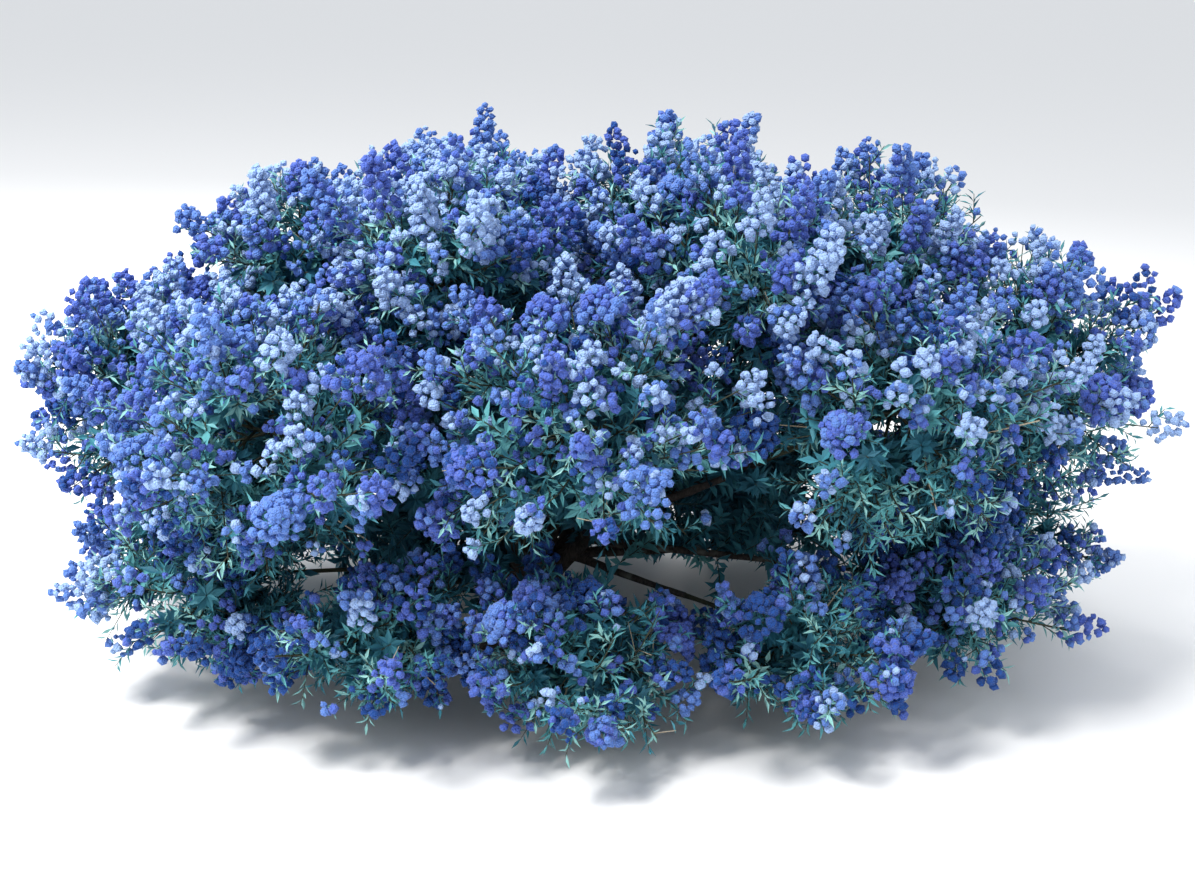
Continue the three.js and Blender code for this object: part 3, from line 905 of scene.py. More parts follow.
    def _bough_shell(self, limb: Limb) -> tuple[Array, Array]:
        """One bough's surface: its radius by share, with a collar at its base and the bark's relief.

        Args:
            limb: the bough.

        Returns:
            The points of one shell and its triangles.
        """
        kind = limb.kind
        shares = np.linspace(0, 1, kind.rings)
        line = limb.at(shares)
        lengths = np.concatenate([[0], np.cumsum(np.linalg.norm(np.diff(line, axis=0), axis=-1))])
        plain = tube_points(line[None], np.ones((1, kind.rings)), kind.sides)[0]
        ring_ways = plain.reshape(kind.rings, kind.sides, 3) - line[:, None]
        turns = 2 * np.pi * np.arange(kind.sides) / kind.sides
        collar = 1 + self.collar * np.exp(-lengths / (self.collar_length * kind.base))
        height, long_pitch, short_pitch = self.knots
        knots = 1 + height * np.sin(long_pitch * lengths + limb.seed) * np.sin(short_pitch * lengths)
        rough = 1 + self.furrow * self._relief(turns, lengths[:, None], limb.seed)
        reach = (limb.radius(shares) * collar * knots)[:, None] * rough
        points = line[:, None] + reach[..., None] * ring_ways
        return points.reshape(1, -1, 3), tube_pattern(kind.rings, kind.sides)

    def dress(self) -> None:
        """Makes the bark's piece, which replaces the trunk and every bough."""
        shells = Shells()
        for shell in (self._trunk_shell(), *map(self._bough_shell, self.boughs)):
            shells.add(*shell)
        names = ["trunk"] + [limb.name for limb in self.boughs]
        shells.dress("limbs", BarkFinish().material(), "bark", names)


# ---------- gaps in the foliage ----------


@dataclass(frozen=True)
class Gap:
    """A gap in the foliage, along a line, through which limbs or the ground beyond show."""

    start: Point
    end: Point
    radius: float

    def depth(self, points: Array) -> Array:
        """How far points (n, 3) lie from the gap's line, in shares of its radius: (n,)."""
        return off_line(points, np.array(self.start), np.array(self.end)) / self.radius


GAPS = (
    Gap((0.15, -1.15, 0.635), (0.145, -0.20, 0.33), 0.055),
    Gap((0.39, -1.15, 0.75), (0.42, -0.25, 0.47), 0.055),
    Gap((0.47, -1.15, 0.77), (0.50, -0.35, 0.52), 0.045),
    Gap((0.27, -1.15, 0.56), (0.30, 0.10, 0.13), 0.055),
    Gap((0.39, -1.15, 0.57), (0.45, 0.10, 0.15), 0.070),
    Gap((0.51, -1.15, 0.57), (0.60, 0.10, 0.15), 0.055),
)
GAP_CHECKS = np.linspace(0.1, 1, 7)  # shares of a twig at which it may lie in no gap
GAP_EDGE, GAP_FADE = 0.75, 0.4  # in radii: where foliage starts round a gap, and over what width it fills up


def crossing_gaps(lines: Array) -> Array:
    """Which lines pass through a gap.

    Args:
        lines: (n, points, 3).

    Returns:
        (n,) booleans.
    """
    shares = np.broadcast_to(GAP_CHECKS, (len(lines), len(GAP_CHECKS)))
    points = along_lines(lines, shares)[0].reshape(-1, 3)
    return np.any([gap.depth(points) < 1 for gap in GAPS], axis=0).reshape(shares.shape).any(axis=1)


def outside_gaps(points: Array, rng: np.random.Generator) -> Array:
    """Draws which points stay where gaps thin the foliage: none near a gap's line, all outside it.

    Args:
        points: (n, 3).
        rng: the draw.

    Returns:
        (n,) booleans.
    """
    stay = np.ones(len(points), dtype=bool)
    for gap in GAPS:
        stay &= rng.random(len(points)) < np.clip((gap.depth(points) - GAP_EDGE) / GAP_FADE, 0, 1)
    return stay


# ---------- twigs and shoots ----------


@dataclass
class Growth:
    """Twigs of one order, as arrays: their lines, radii at base and tip, and how open their tips lie."""

    lines: Array
    base: Array
    tip: Array
    open: Array

    @classmethod
    def even(cls, lines: Array, base: float, tip: float) -> "Growth":
        """Twigs that all have the same radii, before it is known how open they lie."""
        full = np.ones(len(lines))
        return cls(lines, base * full, tip * full, 0 * full)

    @classmethod
    def gathered(cls, parts: list["Growth"]) -> "Growth":
        """All parts of one order of twig as one."""
        return cls(*(np.concatenate([getattr(part, one.name) for part in parts]) for one in fields(cls)))

    @property
    def tips(self) -> Array:
        """Where the lines end."""
        return self.lines[:, -1]

    @property
    def ways(self) -> Array:
        """The directions in which they end."""
        return unit(self.lines[:, -1] - self.lines[:, -2])

    def kept(self, keep: Array) -> "Growth":
        """Only some of the twigs."""
        return Growth(self.lines[keep], self.base[keep], self.tip[keep], self.open[keep])

    def add_to(self, shells: Shells, sides: int) -> None:
        """Adds one closed tube for each twig, its radius falling evenly from base to tip.

        Args:
            shells: what they are added to.
            sides: of each tube.
        """
        rings = self.lines.shape[1]
        share = np.linspace(0, 1, rings)
        radii = self.base[:, None] * (1 - share) + self.tip[:, None] * share
        shells.add(tube_points(self.lines, radii, sides), tube_pattern(rings, sides))


@dataclass(frozen=True)
class TwigKind:
    """How one order of twig grows towards the outside of its mass.

    Attributes:
        spread: how far round the mass they reach, from 0, its outer pole, to 2, its far side.
        depth: how deep in the mass they end, lowest and highest, 1 on its ellipsoid.
        margin: least distance from the border of the mass's space.
        short: how much shorter than their reach they are.
        least: the least length from the mass's middle to their tips.
        radii: at their base and tip.
        density: how many a mass has for each square metre of its mean radius squared.
    """

    spread: float
    depth: Span
    margin: float
    short: float
    least: float
    radii: Span
    density: float = 0.0


@dataclass
class Branching:
    """Grows each mass from its stem: twigs, side twigs and shoots, by the golden angle.

    The stem runs straight on from the bough for stem_straight, and stem_past of the way from the mass's
    middle to its edge. Its outer pole is turned up by pole_upturn. A pair is a least and a greatest value,
    and for radii those at base and tip.
    """

    crown: Crown
    limbs: Limbs
    rng: np.random.Generator
    stem_straight: float = 0.04
    stem_past: float = 0.3
    stem_tip: float = 0.004
    stem_fit: float = 0.95
    pole_upturn: float = 0.45
    twig_count: int = 10
    twig_from: float = 0.5
    twig_along: float = 0.45
    twig_stray: float = 0.04
    droop: float = 0.1
    sag: float = 0.02
    low_end: float = 0.1  # how far the lowest bend lies towards the tip
    main: TwigKind = TwigKind(1.25, (0.9, 1.16), 0.03, 0.055, 0.12, (0.0042, 0.0024))
    outer: TwigKind = TwigKind(1.85, (0.80, 1.06), 0.012, 0.03, 0.08, (0.003, 0.0016), 470)
    inner: TwigKind = TwigKind(1.95, (0.42, 0.84), 0.012, 0.03, 0.08, (0.0028, 0.0016), 330)
    side_from: Span = (0.15, 0.65)
    turn_stray: float = 0.3
    shoots: int = 5
    shoots_from: Span = (0.3, 0.35)  # on side twigs and on main ones
    shoots_end: float = 0.96
    shoot_angle: Span = (32, 62)
    shoot_length: Span = (0.06, 0.13)
    shoot_radii: Span = (0.0017, 0.0009)
    shoot_sizes: Span = (0.8, 1.2)
    shoot_upturn: float = 0.25
    shoot_depth: float = 1.2
    shoot_margin: float = -0.012
    bough_shoots: float = 36.0
    bough_shoots_along: Span = (0.34, 0.97)
    bough_shoot_angle: Span = (35, 75)
    bough_shoot_length: Span = (0.09, 0.2)
    bough_shoot_radii: Span = (0.002, 0.001)
    bough_shoot_upturn: float = 0.2
    lowest_tip: float = 0.06

    def __post_init__(self) -> None:
        """Grows every order of twig in every mass, and the shoots along the boughs."""
        orders = stems, twigs, sides, inners, sprigs = [], [], [], [], []
        for mass in self.crown.masses:
            stem, pole = self._stem(mass)
            first_turn, main, ways = self._twigs(mass, stem, pole)
            side = self._sides(mass, main, ways, pole, first_turn + 1, self.outer)
            inners.append(self._sides(mass, main, ways, pole, first_turn + 2, self.inner))
            stems.append(Growth.even(stem[None], self.stem_fit * mass.bough_tip, self.stem_tip))
            twigs.append(main)
            sides.append(side)
            sprigs.append(self._shoots(mass, side, self.shoots, self.shoots_from[0]))
            sprigs.append(self._shoots(mass, main, 2 * self.shoots, self.shoots_from[1]))
        self.stems, self.twigs, self.sides, self.inners, self.sprigs = map(Growth.gathered, orders)
        self.lows = Growth.gathered([self._along_bough(limb) for limb in self.limbs.boughs])
        hub = np.array([self.crown.middle_x, self.crown.middle_y, 0.0])
        leafy = (self.sides, self.inners, self.sprigs, self.lows)
        shade = Shade(np.concatenate([grown.tips for grown in leafy]), hub)
        for grown in (self.twigs, *leafy):
            grown.open = shade.openness(grown.tips)

    def _stem(self, mass: Mass) -> tuple[Array, Array]:
        """Runs a mass's stem straight on from the bough, through the mass's middle and a little past it.

        Args:
            mass: the mass.

        Returns:
            The stem's line, and the mass's outer pole.
        """
        hub = np.array([self.crown.middle_x, self.crown.middle_y, self.crown.hub_height])
        outward = unit(mass.middle - hub)
        past = mass.middle + outward * self.stem_past * mass.edge(outward)
        straight = mass.bough_end + mass.bough_way * self.stem_straight
        return np.array([mass.bough_end, straight, mass.middle, past]), unit(outward + UP * self.pole_upturn)

    def _clear(self, lines: Array, wanted: Array) -> Array:
        """Which of the wanted twigs end clear of the limbs and cross no gap."""
        return wanted & self.limbs.clear_of(lines[:, -1]) & ~crossing_gaps(lines)

    def _outward(self, mass: Mass, starts: Array, ways: Array, outline: Array,
                 kind: TwigKind) -> tuple[Growth, Array]:
        """Twigs that set out a little below their way and turn up to tips on rays from a mass's middle.

        Args:
            mass: the mass.
            starts: (n, 3).
            ways: (n, 3) the rays' directions.
            outline: (n,) how deep in the mass they may end.
            kind: their margin, lengths and radii.

        Returns:
            Those that are long enough and clear, and their directions.
        """
        reach = self.crown.reach(mass, ways, kind.margin, outline) - kind.short
        tips = mass.middle + ways * reach[:, None]
        length = np.linalg.norm(tips - starts, axis=-1, keepdims=True)
        low = (starts + tips) / 2 - UP * self.droop * length
        quarter = (starts + low) / 2 - UP * self.sag * length
        late = low * (1 - self.low_end) + tips * self.low_end
        lines = np.stack([starts, quarter, late, tips], axis=1)
        keep = self._clear(lines, reach > kind.least)
        return Growth.even(lines, *kind.radii).kept(keep), ways[keep]

    def _twigs(self, mass: Mass, stem: Array, pole: Array) -> tuple[float, Growth, Array]:
        """The main twigs of a mass: they leave its stem in golden-angle turns round its outer pole.

        Args:
            mass: the mass.
            stem: its stem's line.
            pole: its outer pole.

        Returns:
            The first twig's turn, the twigs, and the directions of their tips from the mass's middle.
        """
        mass.dice.draw()  # one that the model's rule draws for something else
        first_turn = mass.dice.draw() * 2 * math.pi
        draws = mass.dice.draws(self.twig_count, 4)
        k = np.arange(self.twig_count)
        cosines = 1 - (k + 0.5) / self.twig_count * self.main.spread
        poles = np.broadcast_to(pole, (self.twig_count, 3))
        ways = leaning(poles, np.arccos(cosines), first_turn + k * GOLDEN_ANGLE)
        low, high = self.main.depth
        outline = low + (high - low) * draws[:, 0]
        along = self.twig_along * (cosines + 1) / 2 + self.twig_stray * (draws[:, 1] - 0.5)
        starts = along_lines(np.repeat(stem[None], self.twig_count, axis=0), self.twig_from + along)[0]
        return first_turn, *self._outward(mass, starts, ways, outline, self.main)

    def _sides(self, mass: Mass, twigs: Growth, twig_ways: Array, pole: Array, first_turn: float,
               kind: TwigKind) -> Growth:
        """Side twigs: more golden-angle turns, each growing from the main twig nearest to its way.

        Args:
            mass: the mass.
            twigs: its main twigs.
            twig_ways: the directions of their tips from its middle.
            pole: its outer pole.
            first_turn: the first side twig's turn.
            kind: how many there are and how deep they end.

        Returns:
            The side twigs that keep to the mass's space and clear of the limbs.
        """
        count = round(kind.density * mass.weight)
        k = np.arange(count)
        cosines = 1 - (k + 0.5) / count * kind.spread
        turns = first_turn + k * GOLDEN_ANGLE + self.turn_stray * self.rng.standard_normal(count)
        ways = leaning(np.broadcast_to(pole, (count, 3)), np.arccos(cosines), turns)
        outline = self.rng.uniform(*kind.depth, count)
        parents = (ways @ twig_ways.T).argmax(axis=1)
        starts = along_lines(twigs.lines[parents], self.rng.uniform(*self.side_from, count))[0]
        return self._outward(mass, starts, ways, outline, kind)[0]

    def _shoots(self, mass: Mass, twigs: Growth, count: int, first: float) -> Growth:
        """Shoots along twigs: each leaves at an angle, turned on by the golden angle, and leans up.

        Args:
            mass: the mass.
            twigs: the twigs that bear them.
            count: shoots on each twig.
            first: share of the twig where the lowest one leaves.

        Returns:
            The shoots whose tips keep to the mass's space and clear of the limbs.
        """
        span = (first, self.shoots_end)
        shares, starts, _, ways = whorls(twigs.lines, count, span, self.shoot_angle, self.rng)
        ways = unit(ways + self.shoot_upturn * UP)
        low, high = self.shoot_length
        lengths = (high - (high - low) * shares) * self.rng.uniform(*self.shoot_sizes, len(shares))
        lines = np.stack([starts, starts + ways * lengths[:, None]], axis=1)
        inside = self.crown.holds(mass, lines[:, 1], self.shoot_margin, self.shoot_depth)
        return Growth.even(lines, *self.shoot_radii).kept(self._clear(lines, inside))

    def _along_bough(self, limb: Limb) -> Growth:
        """Leafy shoots along the outer part of a bough, in golden-angle turns, leaning up.

        Args:
            limb: the bough.

        Returns:
            The shoots whose tips stay clear of the limbs and above the ground.
        """
        length = np.linalg.norm(np.diff(limb.at(np.linspace(0, 1, 9)), axis=0), axis=-1).sum()
        count = max(4, round(self.bough_shoots * length))
        first, last = self.bough_shoots_along
        shares = first + (last - first) * (np.arange(count) + self.rng.random(count)) / count
        starts = limb.at(shares)
        axes = unit(limb.at(shares + 0.02) - starts)
        turns = self.rng.random() * ANY_TURN + np.arange(count) * GOLDEN_ANGLE
        angles = np.radians(self.rng.uniform(*self.bough_shoot_angle, count))
        ways = unit(leaning(axes, angles, turns) + self.bough_shoot_upturn * UP)
        tips = starts + ways * self.rng.uniform(*self.bough_shoot_length, count)[:, None]
        lines = np.stack([starts, tips], axis=1)
        keep = self._clear(lines, tips[:, 2] > self.lowest_tip)
        return Growth.even(lines, *self.bough_shoot_radii).kept(keep)

    def dress(self, dry_sides: Array, dry_sprigs: Array, stands_for: list[str]) -> None:
        """Makes the piece of leafy twigs, and one of the bare, dry ones.

        Args:
            dry_sides: which side twigs are dry.
            dry_sprigs: which shoots are dry.
            stands_for: the masses that they replace.
        """
        leafy = ((self.stems, 6), (self.twigs, 4), (self.sides.kept(~dry_sides), 3), (self.inners, 3),
                 (self.sprigs.kept(~dry_sprigs), 3), (self.lows, 3))
        dry = ((self.sides.kept(dry_sides), 3), (self.sprigs.kept(dry_sprigs), 3))
        for name, tint, orders in (("twigs", Tint.TWIG, leafy), ("dry_twigs", Tint.DRY, dry)):
            shells = Shells()
            for grown, sides in orders:
                grown.add_to(shells, sides)
            shells.dress(name, tint.value.material(), "bark", stands_for)


# ---------- leaves ----------


@dataclass(frozen=True)
class LeafKind:
    """The size of one kind of leaf, and the angle at which it leaves its shoot, in degrees.

    Its light is the share of its shoot's openness that counts towards a lighter tint, as painted light and
    shade.
    """

    length: float
    width: float
    angle: Span
    light: float = 1.0


class Leaf(Enum):
    """The leaves, from those of the outer shoots to those inside the crown."""

    SMALL = LeafKind(0.034, 0.0080, (28, 60))
    # Light below 1 gives large and inner leaves darker tints: painted shade inside the crown.
    LARGE = LeafKind(0.040, 0.0125, (30, 85), 0.8)
    INNER = LeafKind(0.048, 0.0180, (30, 90), 0.45)


class Leaves:
    """All leaves: narrow blades folded along the midrib, with their edges raised."""

    # Along the leaf, across it, and above its plane, in shares of its length, half its width, and its length.
    BLADE = np.array([[0, 0, 0], [0.46, 1, 0.06], [1, 0, -0.06], [0.46, -1, 0.06]])
    FACES = np.array([[0, 2, 1], [0, 3, 2]])
    ROLL = 0.7
    SIZES = (0.75, 1.2)
    LOWEST = 0.008
    # LIGHT: how far a spray's openness lightens its tint, painting light on open sprays and shade on buried
    # ones.
    LIGHT = 1.3
    SHARES = {"shade": (Tint.LEAF_SHADE, 0.36), "dark": (Tint.LEAF_DARK, 0.36),
              "bright": (Tint.LEAF_BRIGHT, 0.22), "pale": (Tint.LEAF_PALE, 0.06)}

    def __init__(self, rng: np.random.Generator) -> None:
        """Starts with no leaves.

        Args:
            rng: the draw for sizes, turns and rolls.
        """
        self.rng = rng
        self.grown: list[tuple[Array, Array, Array]] = []
        self.sprays = 0

    def grow(self, twigs: Growth, count: int, span: Span, leaf: Leaf) -> None:
        """Adds leaves along twigs, in golden-angle turns.

        A leaf's way leaves the twig by its angle, and its upper side faces the twig's tip, rolled a little.

        Args:
            twigs: what bears them.
            count: leaves on each.
            span: the first and last share of the twig that bears them.
            leaf: their kind.
        """
        kind, rows = leaf.value, len(twigs.lines)
        _, roots, axes, ways = whorls(twigs.lines, count, span, kind.angle, self.rng)
        normals = unit(axes - dots(axes, ways) * ways)
        sideways = np.cross(ways, normals)
        roll = self.rng.uniform(-self.ROLL, self.ROLL, (len(roots), 1))
        normals, sideways = (np.cos(roll) * normals + np.sin(roll) * sideways,
                             np.cos(roll) * sideways - np.sin(roll) * normals)
        size = self.rng.uniform(*self.SIZES, len(roots))[:, None, None]
        along = self.BLADE[:, 0, None] * ways[:, None] * kind.length
        wide = self.BLADE[:, 1, None] * sideways[:, None] * kind.width / 2
        lift = self.BLADE[:, 2, None] * normals[:, None] * kind.length
        points = roots[:, None] + size * (along + wide + lift)
        spray = self.sprays + np.repeat(np.arange(rows), count)
        # Each leaf's openness, which later lightens its tint as painted light.
        self.grown.append((points, spray, np.repeat(kind.light * twigs.open, count)))
        self.sprays += rows

    def dress(self, stands_for: list[str]) -> None:
        """Deals the leaves out to tints by spray, by luck and by openness as painted light and shade, and
        makes their pieces.

        Args:
            stands_for: the masses that they replace.
        """
        points, spray, light = map(np.concatenate, zip(*self.grown))
        keep = (points[..., 2].min(axis=1) > self.LOWEST) & outside_gaps(points.mean(axis=1), self.rng)
        points, spray, light = points[keep], spray[keep], light[keep]
        luck = self.rng.random(self.sprays)[spray]
        # Open sprays take the paler tints and buried ones the darker: painted light and shade.
        for name, finish, mine in dealt(luck + self.LIGHT * light, self.SHARES):
            shells = Shells()
            shells.add(points[mine], self.FACES)
            shells.dress(f"leaves_{name}", finish, "leaf", stands_for, smooth=False)


# ---------- blossom ----------


@dataclass(frozen=True)
class HeadKind:
    """A flower head: a cone of round clusters on a shoot's end.

    Attributes:
        clusters: how many round clusters it has.
        length: from its lowest cluster's middle to its highest one's.
        width: how far its lowest clusters' middles lie from its axis.
        cluster: radius of its lowest clusters.
        taper: the share of its width that it loses towards its tip.
    """

    clusters: int
    length: float
    width: float
    cluster: float
    taper: float = 0.62


class Head(Enum):
    """The heads, from a lone cluster to the tall and wide ones at the twigs' ends."""

    LONE = HeadKind(1, 0.0, 0.0, 0.0132)
    TUFT = HeadKind(4, 0.027, 0.018, 0.0136)
    CONE = HeadKind(12, 0.062, 0.030, 0.0137)
    SPIRE = HeadKind(21, 0.104, 0.034, 0.0139)
    PLUME = HeadKind(33, 0.155, 0.031, 0.0142)
    DOME = HeadKind(42, 0.070, 0.056, 0.0145, 0.93)


class Blossom:
    """All flower heads, each made of round clusters whose surface is a ring of knobs."""

    DIP = 0.8  # how far a cluster's dips lie from its middle, the knobs at 1
    UPTURN = 0.45
    BELOW = 0.25  # the share of a head that lies below its shoot's tip
    HEAD_SIZES = (0.8, 1.15)
    WIDTHS = (0.75, 1.15)
    CLUSTER_SIZES = (0.68, 1.25)
    CLUSTER_TAPER = 0.2
    KNOBS = (0.76, 1.2)
    CLUSTER_LUCK = 0.25
    # How far openness and height lighten a head's tint: painted light on open, high heads, painted shade on
    # low, buried ones.
    OPEN_LIGHT, HIGH_LIGHT = 0.8, 0.3
    SHARES = {"deep": (Tint.BLOSSOM_DEEP, 0.22), "violet": (Tint.BLOSSOM_VIOLET, 0.26),
              "blue": (Tint.BLOSSOM_BLUE, 0.30), "pale": (Tint.BLOSSOM_PALE, 0.22)}

    def __init__(self, rng: np.random.Generator) -> None:
        """Starts with no heads.

        Args:
            rng: the draw for sizes and turns.
        """
        self.rng = rng
        self.ball, self.ball_faces = self._knobbed_ball()
        self.grown: list[tuple[Array, Array, Array, Array]] = []
        self.heads = 0

    def _knobbed_ball(self) -> tuple[Array, Array]:
        """A round cluster: the eight corners of a cube as knobs, with a dip over each of its sides.

        Returns:
            14 points, and 24 triangles that face outwards.
        """
        axes = np.vstack([np.eye(3), -np.eye(3)])
        corners = np.array([[x, y, z] for x in (-1, 1) for y in (-1, 1) for z in (-1, 1)])
        points = np.concatenate([corners / math.sqrt(3), self.DIP * axes])
        order = np.array([(8 + axis, i, j) for axis in range(6) for i in range(8) for j in range(i + 1, 8)
                          if min(axes[axis] @ corners[i], axes[axis] @ corners[j]) > 0
                          and corners[i] @ corners[j] == 1])
        a, b, c = (points[order[:, i]] for i in range(3))
        inward = dots(np.cross(b - a, c - a), a + b + c)[:, 0] < 0
        order[inward] = order[inward][:, ::-1]
        return points, order

    def grow(self, twigs: Growth, head: Head) -> None:
        """Adds heads of one kind at the ends of twigs.

        Cluster i of n lies at (i + 0.5) / n of the head's length, turned i times the golden angle, as far
        from the axis as the cone is wide there. The more open and the higher it lies, the lighter its tint:
        painted light and shade.

        Args:
            twigs: what bears them.
            head: their kind.
        """
        kind, rows, count, rng = head.value, len(twigs.lines), head.value.clusters, self.rng
        axes = unit(twigs.ways + self.UPTURN * UP)
        side, other = across(axes)
        shares = (np.arange(count) + 0.5) / count
        size = rng.uniform(*self.HEAD_SIZES, (rows, 1))
        turns = rng.random((rows, 1)) * ANY_TURN + np.arange(count) * GOLDEN_ANGLE
        width = kind.width * (1 - kind.taper * shares**2) * size * rng.uniform(*self.WIDTHS, (rows, count))
        along = (kind.length * (shares - self.BELOW) * size)[..., None] * axes[:, None]
        round_axis = np.cos(turns)[..., None] * side[:, None] + np.sin(turns)[..., None] * other[:, None]
        centres = twigs.tips[:, None] + along + width[..., None] * round_axis
        sizes = rng.uniform(*self.CLUSTER_SIZES, (rows, count))
        radii = kind.cluster * (1 - self.CLUSTER_TAPER * shares) * sizes
        # Painted light: open and high heads score towards paler tints.
        light = np.repeat(self.OPEN_LIGHT * twigs.open + self.HIGH_LIGHT * twigs.tips[:, 2], count)
        number = self.heads + np.repeat(np.arange(rows), count)
        self.grown.append((centres.reshape(-1, 3), radii.ravel(), number, light))
        self.heads += rows

    def _turned(self, count: int) -> Array:
        """Evenly drawn rotations, from unit quaternions.

        Args:
            count: how many.

        Returns:
            (count, 3, 3).
        """
        w, x, y, z = unit(self.rng.standard_normal((count, 4))).T
        return np.array([
            [1 - 2 * (y * y + z * z), 2 * (x * y - z * w), 2 * (x * z + y * w)],
            [2 * (x * y + z * w), 1 - 2 * (x * x + z * z), 2 * (y * z - x * w)],
            [2 * (x * z - y * w), 2 * (y * z + x * w), 1 - 2 * (x * x + y * y)],
        ]).transpose(2, 0, 1)

    def dress(self, stands_for: list[str]) -> None:
        """Moves heads that stick out of the model's box back into it, deals them out to tints with painted
        light and shade, and makes their pieces.

        Args:
            stands_for: the masses that they replace.
        """
        low, high = (np.array(corner) for corner in CAD_BOX)
        centres, radii, head, light = map(np.concatenate, zip(*self.grown))
        past = np.clip(centres, low + radii[:, None], high - radii[:, None]) - centres
        back = np.zeros((2, self.heads, 3))
        np.maximum.at(back[0], head, past)
        np.minimum.at(back[1], head, past)
        centres += back.sum(axis=0)[head]
        keep = outside_gaps(centres, self.rng)
        centres, radii, head, light = centres[keep], radii[keep], head[keep], light[keep]
        luck = self.rng.random(self.heads)[head] + self.CLUSTER_LUCK * self.rng.random(len(head))
        balls = self.ball @ self._turned(len(head)).transpose(0, 2, 1)
        uneven = radii[:, None, None] * self.rng.uniform(*self.KNOBS, (len(head), len(self.ball), 1))
        points = centres[:, None] + uneven * balls
        # Paler tints go to open, high heads and darker to buried ones: painted light and shade.
        for name, finish, mine in dealt(luck + light, self.SHARES):
            shells = Shells()
            shells.add(points[mine], self.ball_faces)
            shells.dress(f"blossom_{name}", finish, "blossom", stands_for)


# ---------- which twigs flower ----------


@dataclass(frozen=True)
class Patch:
    """A part of the crown that flowers less or more than the rest: an ellipsoid, and the factor within."""

    middle: Point
    size: Point
    within: float

    def factor(self, points: Array) -> Array:
        """What multiplies the chance to flower: 1 outside, smoothly different towards the middle."""
        depth = np.linalg.norm((points - np.array(self.middle)) / np.array(self.size), axis=-1)
        return self.within + (1 - self.within) * np.clip(depth, 0, 1) ** 2


